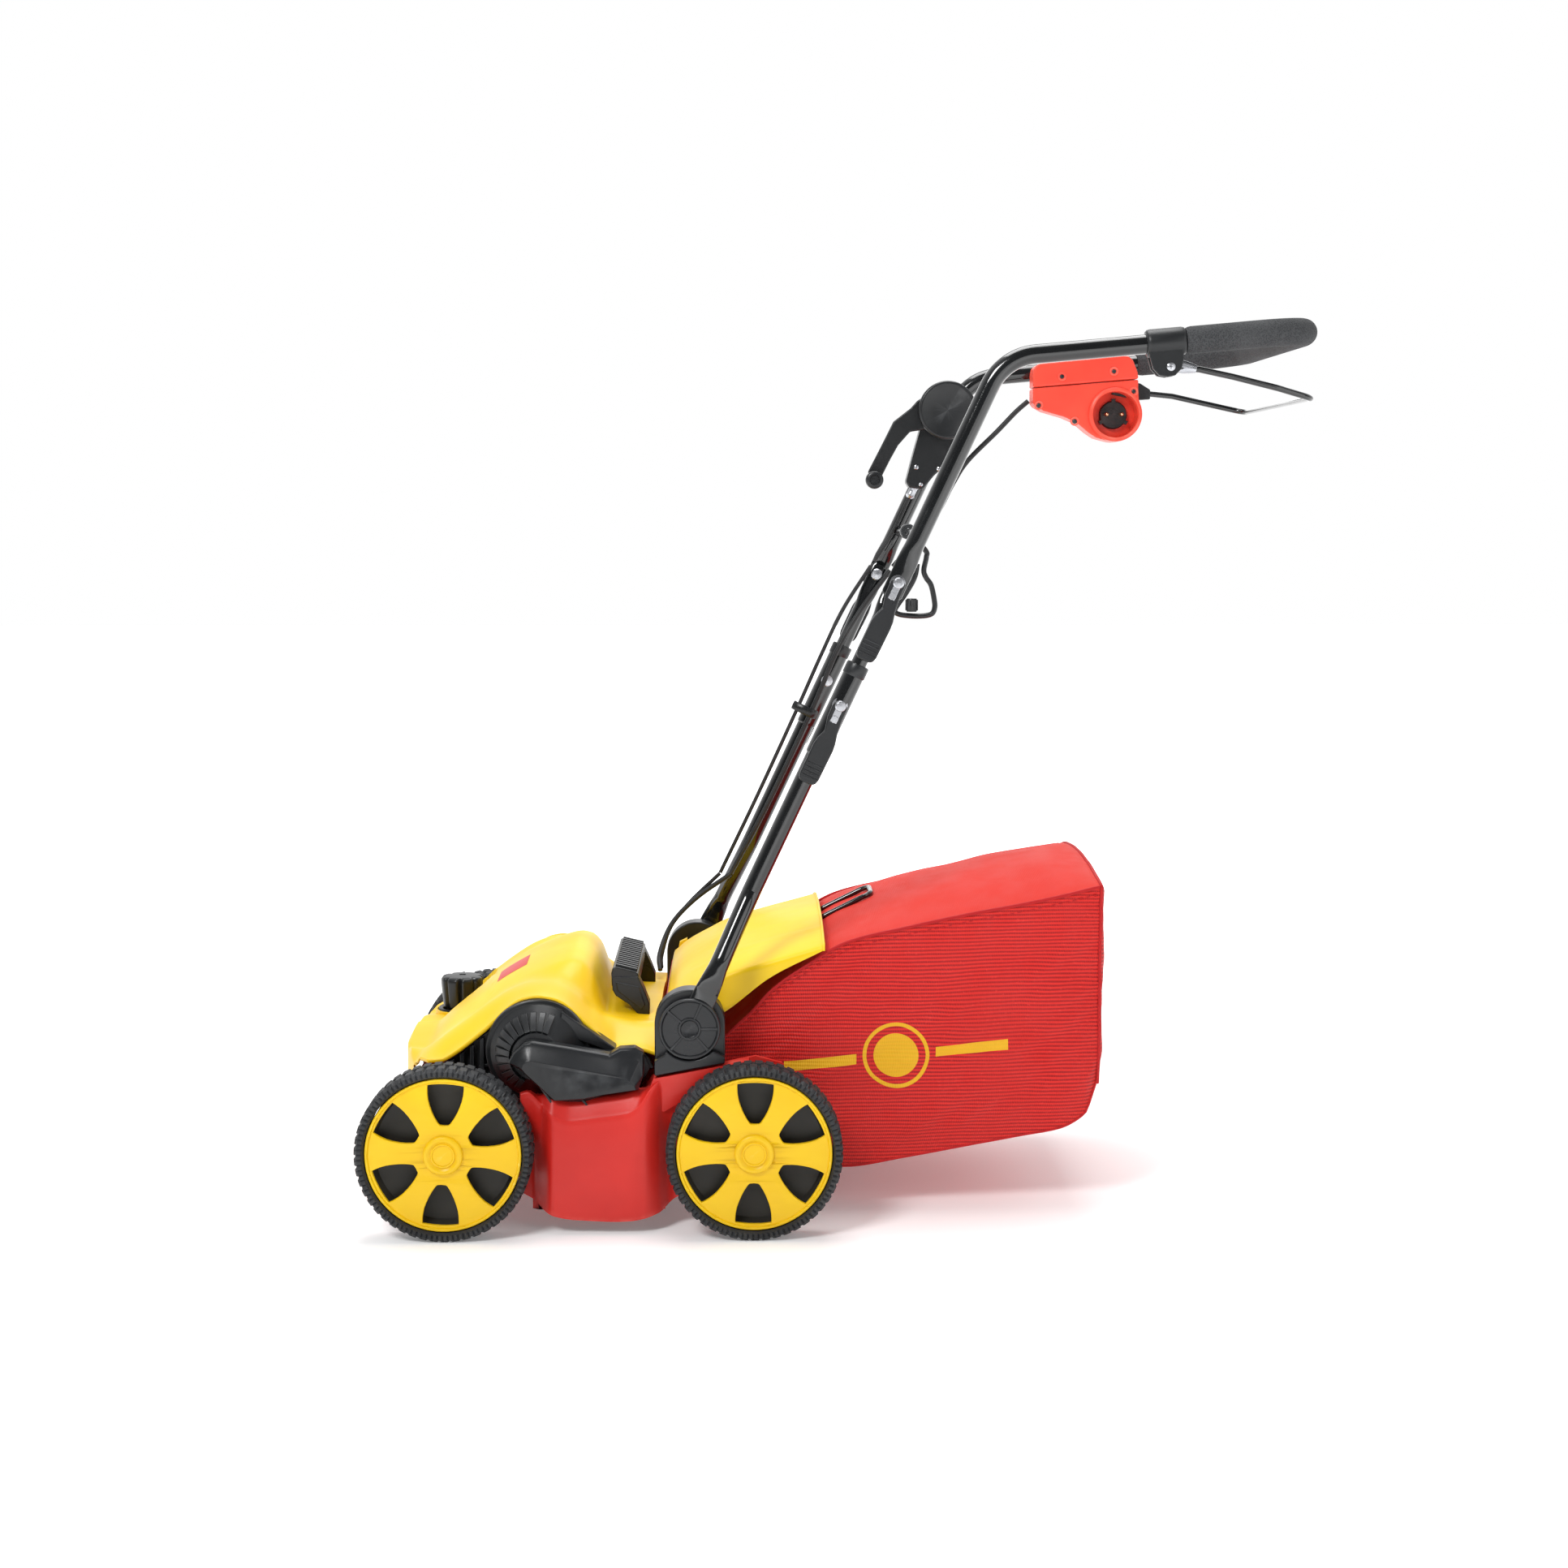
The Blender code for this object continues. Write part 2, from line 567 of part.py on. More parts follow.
def bag():
    """An open-mouthed bag: a thick-walled shell, front rings first."""
    profile = [(-134, 126, 208), (-100, 126, 238), (-70, 118, 262), (-40, 58, 284), (8, 50, 312),
               (80, 62, 334), (160, 76, 357), (250, 92, 384), (296, 116, 384), (312, 190, 382)]
    thick = 3.0

    def frame(x, low, high, inner):
        half = BAG_HALF - (8 if x > 290 else 0) - inner
        low, high = low + inner, high - inner
        c = 10
        return [(x, -half, low + c), (x, -half, high - c), (x, -half + c, high), (x, half - c, high),
                (x, half, high - c), (x, half, low + c), (x, half - c, low), (x, -half + c, low)]

    outer = [frame(*p, 0) for p in profile]
    inner = [frame(*p, thick) for p in profile[:-1]]
    inner.append(frame(profile[-1][0] - 4, profile[-1][1], profile[-1][2], thick))
    inner[-2] = frame(292, 117, 383, thick)
    bm = bmesh.new()
    rows = [[bm.verts.new(p) for p in ring_points] for ring_points in list(reversed(inner)) + outer]
    for a, b in zip(rows, rows[1:]):
        for i in range(8):
            j = (i + 1) % 8
            bm.faces.new((a[i], a[j], b[j], b[i]))
    bm.faces.new(rows[0])
    bm.faces.new(list(reversed(rows[-1])))
    make("bag_fabric", bm, "bag_red")
    mouth = bent([(-139, 0, 134), (-139, -178, 134), (-139, -178, 202), (-139, 0, 202)], 14, 3)
    mouth = mouth[1:-1]
    loop = mouth + [Vector((p.x, -p.y, p.z)) for p in reversed(mouth)]
    item = make("bag_frame", tube_loop(loop, 3.5), "gloss_black")
    grip = bent([(-139, -28, 198), (-139, -28, 226), (-24, -28, 315), (46, -28, 341), (46, 28, 341),
                 (-24, 28, 315), (-139, 28, 226), (-139, 28, 198)], 10, 2)
    boolean(item, sweep(grip, 3.0, 8), "UNION")


def tube_loop(points, radius, sides=8):
    """A closed tube through points in one upright plane."""
    count = len(points)
    rings = []
    for i, here in enumerate(points):
        along = (points[(i + 1) % count] - points[i - 1]).normalized()
        side = Vector((1, 0, 0))
        up = along.cross(side)
        rings.append([here + side * (radius * math.cos(a)) + up * (radius * math.sin(a))
                      for a in (2 * math.pi * k / sides for k in range(sides))])
    return loft(rings, closed_ends=False)


# ---------------------------------------------------------------- handle

def lower_tubes():
    for word, side in SIDES.items():
        stops = [(-14, 242, 3.8, 14), (40, 242, 3.8, 14), (57, 243, 6, 13), (80, 238, TUBE_R, TUBE_R),
                 (150, 208, TUBE_R, TUBE_R), (175, HANDLE_Y, TUBE_R, TUBE_R),
                 (SLEEVE_AT[0], HANDLE_Y, TUBE_R, TUBE_R)]
        path = [along_handle(d, side * y) for d, y, _, _ in stops]
        item = make(f"lower_tube_{word}", sweep(path, [(w, t) for _, _, w, t in stops], 12), "gloss_black",
                    origin=(PIVOT[0], 0, PIVOT[1]))
        sleeve = [along_handle(d, side * HANDLE_Y) for d in (SLEEVE_AT[0] - 6, SLEEVE_AT[1])]
        boolean(item, sweep(sleeve, SLEEVE_R, 12), "UNION")
        boolean(item, disc(flat2(along_handle(LOWER_BOLT_AT)), 4, *span(side, 187, 216.6), 10), "UNION")
        boolean(item, disc(flat2(along_handle(LOWER_BOLT_AT)), 7, *span(side, 186.5, 189), 10), "UNION")
        bore = [along_handle(d, side * HANDLE_Y) for d in (SLEEVE_AT[0] + 2, SLEEVE_AT[1] + 20)]
        boolean(item, sweep(bore, MIDDLE_R + GAP, 12))
        boolean(item, disc(PIVOT, 5 + GAP, *span(side, 230, 250), 12))


def middle_tubes():
    for word, side in SIDES.items():
        stops = [(SLEEVE_AT[0] + 44, HANDLE_Y, MIDDLE_R, MIDDLE_R), (505, HANDLE_Y, MIDDLE_R, MIDDLE_R),
                 (530, HANDLE_Y - 5, 3.6, 11), (568, HANDLE_Y - 5, 3.6, 11)]
        path = [along_handle(d, side * y) for d, y, _, _ in stops]
        item = make(f"middle_tube_{word}", sweep(path, [(w, t) for _, _, w, t in stops], 12), "gloss_black",
                    origin=along_handle(LOWER_BOLT_AT))
        bolt = [(0.01, 188), (7, 188), (7, 191), (4, 191), (4, 216.6), (0.01, 216.6)]
        bolt = [(r, side * y) for r, y in bolt]
        boolean(item, turned(flat2(along_handle(UPPER_BOLT_AT)), bolt, 10), "UNION")


def handle_path():
    """Centre line of the upper handle, from the left lower end round to the right one."""
    bend = along_handle(BEND_AT)
    rise = math.tan(GRIP_ANGLE)
    end = (HANDLE_END, bend[2] + (HANDLE_END - bend[0]) * rise)
    y = HANDLE_Y
    corners = [along_handle(UPPER_BOLT_AT + 40, -y), (bend[0], -y, bend[2])]
    far = [(end[0], -y, end[1]), (end[0], y, end[1]), (bend[0], y, bend[2]),
           along_handle(UPPER_BOLT_AT + 40, y)]
    return bent(corners + far, 62, 5)


def upper_handle():
    core = handle_path()
    y = HANDLE_Y
    start = [(-16, y + 5, 3.6, 12), (14, y + 5, 3.6, 12)]
    head = [along_handle(UPPER_BOLT_AT + d, -w) for d, w, _, _ in start]
    tail = [along_handle(UPPER_BOLT_AT + d, w) for d, w, _, _ in reversed(start)]
    radii = [(a, b) for _, _, a, b in start]
    sizes = radii + [(TUBE_R, TUBE_R)] * len(core) + list(reversed(radii))
    item = make("upper_handle", sweep(head + core + tail, sizes, 10), "gloss_black",
                origin=along_handle(UPPER_BOLT_AT))
    eye = flat2(along_handle(UPPER_BOLT_AT))
    for side in SIDES.values():
        boolean(item, disc(eye, 4 + GAP, *span(side, 200, 216), 12))
    boolean(item, sweep([along_handle(RAIL_AT, -y), along_handle(RAIL_AT, y)], 3.5, 8), "UNION")


def on_grip(x):
    """Height of the handle's upper run at a given X."""
    bend = along_handle(BEND_AT)
    return bend[2] + (x - bend[0]) * math.tan(GRIP_ANGLE)


def foam_grip():
    path = [p for p in handle_path() if p.x > 400]
    ends = [Vector((x, y, on_grip(x))) for x, y in ((GRIP_FROM[0], -HANDLE_Y), (GRIP_FROM[1], HANDLE_Y))]
    make("foam_grip", sweep([ends[0]] + path + [ends[1]], GRIP_R, 10, inner=TUBE_R + 0.6), "foam")


def bail():
    ends = [Vector((BAIL_PIN[0] + 8, -HANDLE_Y - 2, BAIL_PIN[1])), Vector((403, 172, 965))]
    near = [(401, -202, 972), (440, -199, 964), (490, -196, 952), (534, -182, 941)]
    far = [(534, 168, 941), (490, 172, 951), (440, 172, 962)]
    path = bent([ends[0]] + near + far + [ends[1]], 12, 2)
    item = make("bail", sweep(path, 3.2, 8), "gloss_black", origin=(BAIL_PIN[0], 0, BAIL_PIN[1]))
    boolean(item, disc(BAIL_PIN, 8, -208, -202, 12), "UNION")
    lever = [(BAIL_PIN[0] - 8, 968), (BAIL_PIN[0] - 8, 980), (408, 972), (408, 960)]
    boolean(item, plate(lever, 168, 176), "UNION")
    boolean(item, disc(BAIL_PIN, 3.4, -215, -195, 12))


def bail_bracket():
    """Clamp ring round the left arm, with two cheeks that hold the bail's pin."""
    z = on_grip(361)
    ends = [Vector((x, -HANDLE_Y, on_grip(x))) for x in (343, 382)]
    item = make("bail_bracket", sweep(ends, 15, 12))
    cheek = [(346, z - 10), (378, z - 8), (380, 968), (372, 963), (360, 963), (352, 970)]
    for low, high in ((-214, -209), (-201, -196)):
        boolean(item, plate(cheek, low, high), "UNION")
    boolean(item, sweep([Vector((335, -HANDLE_Y, on_grip(335))), Vector((390, -HANDLE_Y, on_grip(390)))],
                        TUBE_R + GAP, 12))
    boolean(item, disc(BAIL_PIN, 3, -216, -194, 12), "UNION")


def switch_box():
    """Housing under the right arm, split into a lower body and an upper clamp strip."""
    below = [(259, 971), (259, 950), (273, 941), (299, 933), (321, 922), (336, 912), (352, 906), (390, 918),
             (397, 940), (393, 982)]
    low, high = 150.0, 190.0
    body = make("switch_box", plate(below, low, high), "orange_red")
    room = [(263, 980), (263, 953), (276, 945), (301, 937), (322, 927), (337, 980)]
    boolean(body, plate(room, low + 3, high - 3))
    boolean(body, disc(SOCKET, 33.5, low - 2, high - 1, 24), "UNION")
    boolean(body, disc(SOCKET, 29, low - 5, high - 6, 24))
    boolean(body, box((352, 412), (163, 181), (954, 1000)))
    boolean(body, disc((300, 955), 8, 180, 195, 12))
    above = [(259, 971.8), (259, 992), (262, 1001), (382, 1012), (392, 990), (393, 982.8)]
    lid = make("switch_box_cover", plate(above, low, high), "orange_red")
    boolean(lid, box((268, 384), (low + 3, high - 3), (960, 992)))
    boolean(lid, box((352, 412), (163, 181), (960, 994)))
    pins = [disc((SOCKET[0] + dx, SOCKET[1] + 0.5), 2.4, 158, 170, 8) for dx in (-9.5, 9.5)]
    inlet = make("plug_inlet", disc(SOCKET, 17.5, 168, 183.4, 20))
    boolean(inlet, merge(*pins), "UNION")
    button = make("switch_button", disc((300, 955), 7.4, 183, 197, 16), "black", origin=(300, 190, 955))
    boolean(button, disc((300, 955), 9.5, 183, 186, 16), "UNION")


def lever_box():
    outline = [(118, 930), (118, 917), (100, 851), (104, 846), (121, 844), (126, 850), (146, 872), (163, 904),
               (178, 930), (178, 955), (163, 972), (150, 976), (134, 970), (122, 958)]
    body = make("lever_box", plate(outline, 162, 191))
    boolean(body, disc(DEPTH_PIN, 9, 148, 165, 16), "UNION")
    ferrule = sweep([along_line((112, 176, 850), 2), along_line((112, 176, 850), 18)], 5, 10)
    boolean(body, ferrule, "UNION")
    boolean(body, disc(DEPTH_PIN, 37, 140, 148.2, 28), "UNION")
    lever = make("depth_lever", ring(DEPTH_PIN, 30, 9.4, 149, 159, 24),
                 origin=(DEPTH_PIN[0], 0, DEPTH_PIN[1]))
    arm = [(126, 962), (108, 950), (84, 931), (52, 866), (65, 857), (86, 896), (102, 918), (140, 917)]
    boolean(lever, plate(arm, 149.5, 158.5), "UNION")
    boolean(lever, disc((57, 855), 11, 122, 159, 16), "UNION")
    boolean(lever, disc(DEPTH_PIN, 9.4, 140, 165, 16))


def along_line(point, distance):
    """A point further down the handle's slope."""
    c, s = math.cos(HANDLE_ANGLE), math.sin(HANDLE_ANGLE)
    return (point[0] - distance * c, point[1], point[2] - distance * s)


def cable_hook():
    """Strain relief that slides on the cross rail."""
    rail = x, z = flat2(along_handle(RAIL_AT))
    item = make("cable_hook", ring(rail, 9, 4.0, -6, 6, 16), origin=(x, 0, z))
    outline = [(x + 4, z - 5), (x + 12, z - 6), (118, 728), (126, 698), (118, 690), (76, 690), (74, 697),
               (92, 722), (x + 2, z - 8)]
    boolean(item, plate(outline, -5, 5), "UNION")
    hole = [(110, 722), (118, 700), (113, 696), (96, 696), (104, 722)]
    boolean(item, plate(hole, -8, 8))
    boolean(item, ring(rail, 4.0, 0.01, -8, 8, 16))


def clamps():
    """The quick-release lever outside each clamp bolt."""
    for row, at in (("lower", LOWER_BOLT_AT), ("upper", UPPER_BOLT_AT)):
        for word, side in SIDES.items():
            clamp_lever(row, word, side, at)


def clamp_lever(row, word, side, at):
    shape = [(-7, -9), (-7, 9), (14, 12), (48, 13), (88, 12), (90, -8), (50, -9), (26, -4), (8, -9)]
    outline = [flat2(along_handle(at - d, 0, off)) for d, off in shape]
    item = make(f"clamp_lever_{row}_{word}", plate(outline, *span(side, 221, 231)),
                origin=along_handle(at, side * 226))
    notch = [flat2(along_handle(at - d, 0, off)) for d, off in [(14, -20), (14, 20), (60, 20), (60, -20)]]
    boolean(item, plate(notch, *span(side, 218, 223)))


def loom(name, control, lead, clip):
    """The control cable and the mains lead side by side, held together by a clip."""
    item = make(name, sweep(curve(control, 3), 2.5, 6), "gloss_black")
    boolean(item, sweep(curve(lead, 3), 3.2, 6), "UNION")
    boolean(item, sweep(clip, 2.2, 6), "UNION")


def cables():
    """Control cable and mains lead, clipped along the right tubes."""
    loom("cables_upper", [along_line((112, 176, 850), 20), (84, 178, 790), (60, 178, 752)],
         [(256, 176, 956), (240, 176, 942), (216, 176, 917), (179, 177, 880), (160, 180, 850),
          (136, 180, 806), (84, 178, 745)],
         [(79, 178, 785), (122, 179.5, 788)])
    loom("cables_lower", [(56, 188, 746), (20, 185, 690), (-8, 181, 632), (-40, 180, 560), (-90, 186, 450),
                          (-140, 190, 345)],
         [(81, 188, 740), (44, 187, 690), (12, 180, 636), (-20, 178, 560), (-76, 180, 440), (-126, 184, 345)],
         [(-46, 180, 558), (-15, 178, 562)])
    loom("cables_slack", [(-142, 190, 341), (-180, 190, 306), (-205, 184, 274), (-216, 160, 242),
                          (-216, 142, 228)],
         [(-128, 184, 341), (-172, 183, 312), (-203, 168, 281), (-218, 138, 247), (-217, 120, 229)],
         [(-190, 188, 294), (-186, 179, 302)])


def curve(points, steps):
    """A smooth run through the points."""
    p = [Vector(q) for q in points]
    p = [2 * p[0] - p[1]] + p + [2 * p[-1] - p[-2]]
    out = []
    for i in range(1, len(p) - 2):
        for k in range(steps):
            t = k / steps
            a, b, c, d = p[i - 1:i + 3]
            out.append(0.5 * (2 * b + (c - a) * t + (2 * a - 5 * b + 4 * c - d) * t ** 2
                              + (3 * b - a - 3 * c + d) * t ** 3))
    out.append(p[-2])
    return out


def build():
    clear_scene()
    wheels()
    axles()
    deck()
    hood()
    hood_fittings()
    side_panels()
    motor()
    belt()
    rotor()
    pivot_housings()
    flap()
    bag()
    lower_tubes()
    middle_tubes()
    upper_handle()
    foam_grip()
    bail()
    bail_bracket()
    switch_box()
    lever_box()
    cable_hook()
    clamps()
    cables()


build()
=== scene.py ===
"""Looks of a walk-behind electric lawn scarifier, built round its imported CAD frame.

Tables are in millimetres in the row frame and are scaled once, by MM. +X is the rear, -Y the belt side.
"""
import json
import math

import bmesh
import bpy
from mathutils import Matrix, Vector, noise

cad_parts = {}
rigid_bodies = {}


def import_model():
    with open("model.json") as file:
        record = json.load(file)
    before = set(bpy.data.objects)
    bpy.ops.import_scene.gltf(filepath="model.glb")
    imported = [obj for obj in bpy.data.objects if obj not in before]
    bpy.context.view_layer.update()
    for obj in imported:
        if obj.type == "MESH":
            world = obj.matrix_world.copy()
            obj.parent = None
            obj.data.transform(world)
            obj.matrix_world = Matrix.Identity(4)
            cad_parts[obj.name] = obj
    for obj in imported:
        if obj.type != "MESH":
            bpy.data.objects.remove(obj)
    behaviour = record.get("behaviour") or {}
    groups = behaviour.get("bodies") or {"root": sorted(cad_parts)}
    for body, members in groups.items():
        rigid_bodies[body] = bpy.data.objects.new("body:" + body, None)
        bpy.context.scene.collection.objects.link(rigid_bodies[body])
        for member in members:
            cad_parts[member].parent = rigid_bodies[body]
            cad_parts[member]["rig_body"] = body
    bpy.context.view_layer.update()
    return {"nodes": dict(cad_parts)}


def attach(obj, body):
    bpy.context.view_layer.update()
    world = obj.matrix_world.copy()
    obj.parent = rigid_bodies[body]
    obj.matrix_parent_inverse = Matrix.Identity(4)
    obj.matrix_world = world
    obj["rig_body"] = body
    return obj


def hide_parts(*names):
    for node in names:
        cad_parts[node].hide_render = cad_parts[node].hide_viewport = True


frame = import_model()

MM = 0.001
WELD = 1e-6
SIDES = {"left": -1, "right": 1}
TAU = 2 * math.pi
AXIS = 0.01  # a turned profile ends this far from its axis, which welds shut

# Places shared with the CAD
FRONT_HUB, REAR_HUB = (-446.0, 99.5), (-98.0, 99.5)
MOTOR, PIVOT, KNOB = (-346.0, 199.0), (-171.0, 233.0), (-468.0, 90.0)
HANDLE_ANGLE = math.radians(64.9)
HANDLE_Y = 203.0
LOWER_BOLT_AT, UPPER_BOLT_AT, RAIL_AT, BEND_AT = 402.0, 554.0, 616.0, 831.0
MARK = (0.067, 0.187)  # metres, for the material
GRIP_RISE = math.tan(math.radians(5.1))
HANDLE_END = 530.0
BAIL_PIN, SOCKET, DEPTH_PIN = (367.0, 974.0), (364.0, 938.0), (150.0, 943.0)


# ---------------------------------------------------------------- materials

class Nodes:
    """A material's node tree with short calls."""

    def __init__(self, name):
        self.material = bpy.data.materials.new(name)
        self.material.use_nodes = True
        self.tree = self.material.node_tree
        self.shader = self.tree.nodes["Principled BSDF"]
        self.coords = self.add("ShaderNodeTexCoord").outputs["Object"]

    def add(self, kind, **settings):
        node = self.tree.nodes.new(kind)
        for key, value in settings.items():
            setattr(node, key, value)
        return node

    def link(self, a, b):
        self.tree.links.new(a, b)

    def put(self, socket, value):
        """Link an output to a socket, or set the socket to a plain value."""
        if hasattr(value, "is_output"):
            self.link(value, socket)
        else:
            is_colour = socket.type == "RGBA" and isinstance(value, tuple)
            socket.default_value = (*value, 1.0) if is_colour else value

    def feed(self, node, **values):
        """Fill sockets by name, or by place as i0, i1 and so on."""
        for key, value in values.items():
            self.put(node.inputs[int(key[1:]) if key[1:].isdigit() else key], value)
        return node

    def noise(self, scale, detail=3.0, stretch=None, distortion=0.0):
        source = self.coords
        if stretch:
            source = self.feed(self.add("ShaderNodeMapping"), Vector=self.coords, Scale=stretch).outputs[0]
        node = self.add("ShaderNodeTexNoise")
        self.feed(node, Vector=source, Scale=scale, Detail=detail, Distortion=distortion)
        return node.outputs["Fac"]

    def math(self, operation, a, b=0.0, c=0.0):
        return self.feed(self.add("ShaderNodeMath", operation=operation), i0=a, i1=b, i2=c).outputs[0]

    def ramp(self, value, low, high, out_low=0.0, out_high=1.0):
        node = self.add("ShaderNodeMapRange")
        node.interpolation_type = "SMOOTHSTEP"
        self.feed(node, i0=value, i1=low, i2=high, i3=out_low, i4=out_high)
        return node.outputs[0]

    def cloud(self, scale, detail, low, high, out_low=0.0, out_high=1.0):
        """Soft patches: noise between low and high, spread over the output range."""
        return self.ramp(self.noise(scale, detail), low, high, out_low, out_high)

    def times(self, a, b):
        return self.math("MULTIPLY", a, b)

    def mix(self, factor, a, b):
        node = self.add("ShaderNodeMix", data_type="RGBA")
        sockets = [s for s in node.inputs if s.enabled]
        for socket, value in zip(sockets, (factor, a, b)):
            self.put(socket, value)
        return [s for s in node.outputs if s.enabled][0]

    def split(self):
        return self.feed(self.add("ShaderNodeSeparateXYZ"), Vector=self.coords).outputs

    def bump(self, height, distance, strength=1.0):
        node = self.add("ShaderNodeBump")
        self.feed(node, Height=height, Distance=distance, Strength=strength)
        if self.shader.inputs["Normal"].is_linked:
            self.link(self.shader.inputs["Normal"].links[0].from_socket, node.inputs["Normal"])
        self.link(node.outputs[0], self.shader.inputs["Normal"])

    def finish(self, colour, roughness, metallic=0.0, coat=0.0, specular=0.5):
        s = self.shader
        self.feed(s, **{"Base Color": colour, "Roughness": roughness})
        s.inputs["Metallic"].default_value = metallic
        s.inputs["Coat Weight"].default_value = coat
        s.inputs["Specular IOR Level"].default_value = specular
        return self.material


def worn(n, colour, dark, light, amount=0.5):
    """Cloudy shade variation, finer speckle and pale rubbed edges."""
    cloud = n.mix(n.cloud(7.0, 4.0, 0.35, 0.7), dark, colour)
    speck = n.mix(n.cloud(900.0, 1.0, 0.62, 0.8, 0.0, 0.25 * amount), cloud, dark)
    edge = n.ramp(n.add("ShaderNodeNewGeometry").outputs["Pointiness"], 0.53, 0.62)
    rub = n.times(edge, n.cloud(45.0, 4.0, 0.35, 0.75, 0.0, amount))
    return n.mix(rub, speck, light)


def moulded(name, colour, dark, light, rough, grain=0.00006):
    """Injection-moulded plastic: fine spark texture, faint flow clouds, hairline scuffs."""
    n = Nodes(name)
    scuff = n.ramp(n.noise(60.0, 4.0, (1.0, 14.0, 3.0), 0.6), 0.55, 0.72)
    patch = n.cloud(11.0, 3.0, 0.3, 0.75, rough - 0.05, rough + 0.07)
    roughness = n.math("ADD", patch, n.times(scuff, 0.06))
    n.bump(n.noise(1400.0, 2.0), grain, 0.6)
    n.bump(n.noise(22.0, 2.0), 0.0003, 0.15)
    return n.finish(worn(n, colour, dark, light), roughness, specular=0.4)


def coated(name, colour, dark, light, rough):
    """Powder-coated or painted steel with orange peel and small chips."""
    n = Nodes(name)
    chips = n.cloud(160.0, 5.0, 0.72, 0.76)
    base = n.mix(n.times(chips, 0.35), worn(n, colour, dark, light, 0.35), light)
    n.bump(n.noise(260.0, 2.0), 0.00012, 0.35)
    return n.finish(base, n.cloud(30.0, 3.0, 0.3, 0.8, rough, rough + 0.12), coat=0.6)


def metal(name, colour, dark, rough, stretch):
    """Zinc-plated or ground steel with drawn lines and dull patches."""
    n = Nodes(name)
    lines = n.noise(500.0, 2.0, stretch)
    tone = n.mix(n.cloud(35.0, 4.0, 0.3, 0.75), dark, colour)
    tone = n.mix(n.ramp(lines, 0.3, 0.7, 0.0, 0.25), tone, dark)
    n.bump(lines, 0.00005, 0.5)
    return n.finish(tone, n.cloud(60.0, 3.0, 0.3, 0.8, rough, rough + 0.2), 1.0)


def rubber(name, colour, dark, light, rough, scale=700.0, height=0.00015):
    """Matt rubber with dusty patches."""
    n = Nodes(name)
    dust = n.cloud(24.0, 5.0, 0.5, 0.85, 0.0, 0.3)
    base = n.mix(dust, worn(n, colour, dark, light, 0.6), light)
    n.bump(n.noise(scale, 3.0), height, 0.7)
    n.bump(n.noise(40.0, 2.0), 0.0004, 0.3)
    return n.finish(base, n.cloud(18.0, 4.0, 0.3, 0.8, rough, rough + 0.14), specular=0.35)


def foam():
    """Closed-cell foam: tiny cells over soft dents, with painted shade in the cell pits."""
    n = Nodes("foam_skin")
    cells = n.add("ShaderNodeTexVoronoi", feature="F1")
    n.feed(cells, Vector=n.coords, Scale=650.0)
    # Painted shade: the cells are darker at their middles, where the bump dips into pits.
    tone = n.mix(n.ramp(cells.outputs["Distance"], 0.1, 0.7), (0.022, 0.023, 0.025), (0.055, 0.057, 0.06))
    tone = n.mix(n.cloud(14.0, 4.0, 0.45, 0.8, 0.0, 0.4), tone, (0.075, 0.077, 0.08))
    n.bump(cells.outputs["Distance"], 0.0005, 0.8)
    n.bump(n.noise(55.0, 3.0), 0.0008, 0.3)
    return n.finish(tone, n.cloud(40.0, 2.0, 0.3, 0.8, 0.82, 0.95), specular=0.3)


def mesh_cloth(name, bright, deep, pitch):
    """Warp-knitted mesh: raised cords along the bag with rows of small open stitches between them, with
    painted shade in the grooves and stitches.
    """
    n = Nodes(name)
    x, y, z = n.split()
    drift = n.times(n.noise(5.0, 2.0), 0.012)
    height = n.math("ADD", n.math("SUBTRACT", z, n.times(x, 0.02)), drift)
    cord = n.ramp(n.math("PINGPONG", height, pitch / 2), 0.0, pitch / 2)
    gauge = pitch * 0.28
    stitch = n.ramp(n.math("PINGPONG", n.math("ADD", x, y), gauge), 0.0, gauge)
    open_stitch_shade = n.times(n.ramp(cord, 0.55, 0.15), n.ramp(stitch, 0.35, 0.75))
    # Painted shade: the cloth is darker down into the grooves between the cords.
    tone = n.mix(cord, deep, bright)
    # Painted shade: the open stitches are painted near black, as shade seen through them.
    tone = n.mix(n.times(open_stitch_shade, 0.7), tone, tuple(c * 0.28 for c in deep))
    tone = n.mix(n.cloud(9.0, 4.0, 0.35, 0.75, 0.0, 0.35), tone, tuple(c * 0.7 for c in bright))
    tone = n.mix(n.cloud(420.0, 2.0, 0.62, 0.75, 0.0, 0.3), tone,
                 tuple(min(1, c * 1.5 + 0.03) for c in bright))
    tone = n.mix(emblem(n, x, y, z), tone, (0.80, 0.46, 0.01))
    n.bump(cord, 0.0007, 0.7)
    n.bump(stitch, 0.0004, 0.6)
    n.bump(n.noise(16.0, 3.0), 0.0025, 0.35)
    material = n.finish(tone, n.cloud(30.0, 3.0, 0.3, 0.8, 0.5, 0.7), specular=0.3)
    n.shader.inputs["Sheen Weight"].default_value = 0.04
    n.shader.inputs["Sheen Roughness"].default_value = 0.5
    return material


def emblem(n, x, y, z):
    """A plain printed mark on the belt side: a ring round a disc, with a bar to each side of it."""
    dx = n.math("SUBTRACT", x, MARK[0])
    dz = n.math("SUBTRACT", z, MARK[1])
    radius = n.math("SQRT", n.math("ADD", n.times(dx, dx), n.times(dz, dz)))
    ring = n.math("COMPARE", radius, 0.0365, 0.0022)
    disc = n.math("COMPARE", radius, 0.0130, 0.0130)
    band = n.math("COMPARE", n.math("SUBTRACT", z, n.times(dx, 0.10)), MARK[1], 0.006)
    reach = n.math("COMPARE", n.math("ABSOLUTE", dx), 0.088, 0.042)
    mark = n.math("MAXIMUM", n.math("MAXIMUM", ring, disc), n.times(band, reach))
    return n.times(n.times(mark, n.math("LESS_THAN", y, -0.12)), 0.9)


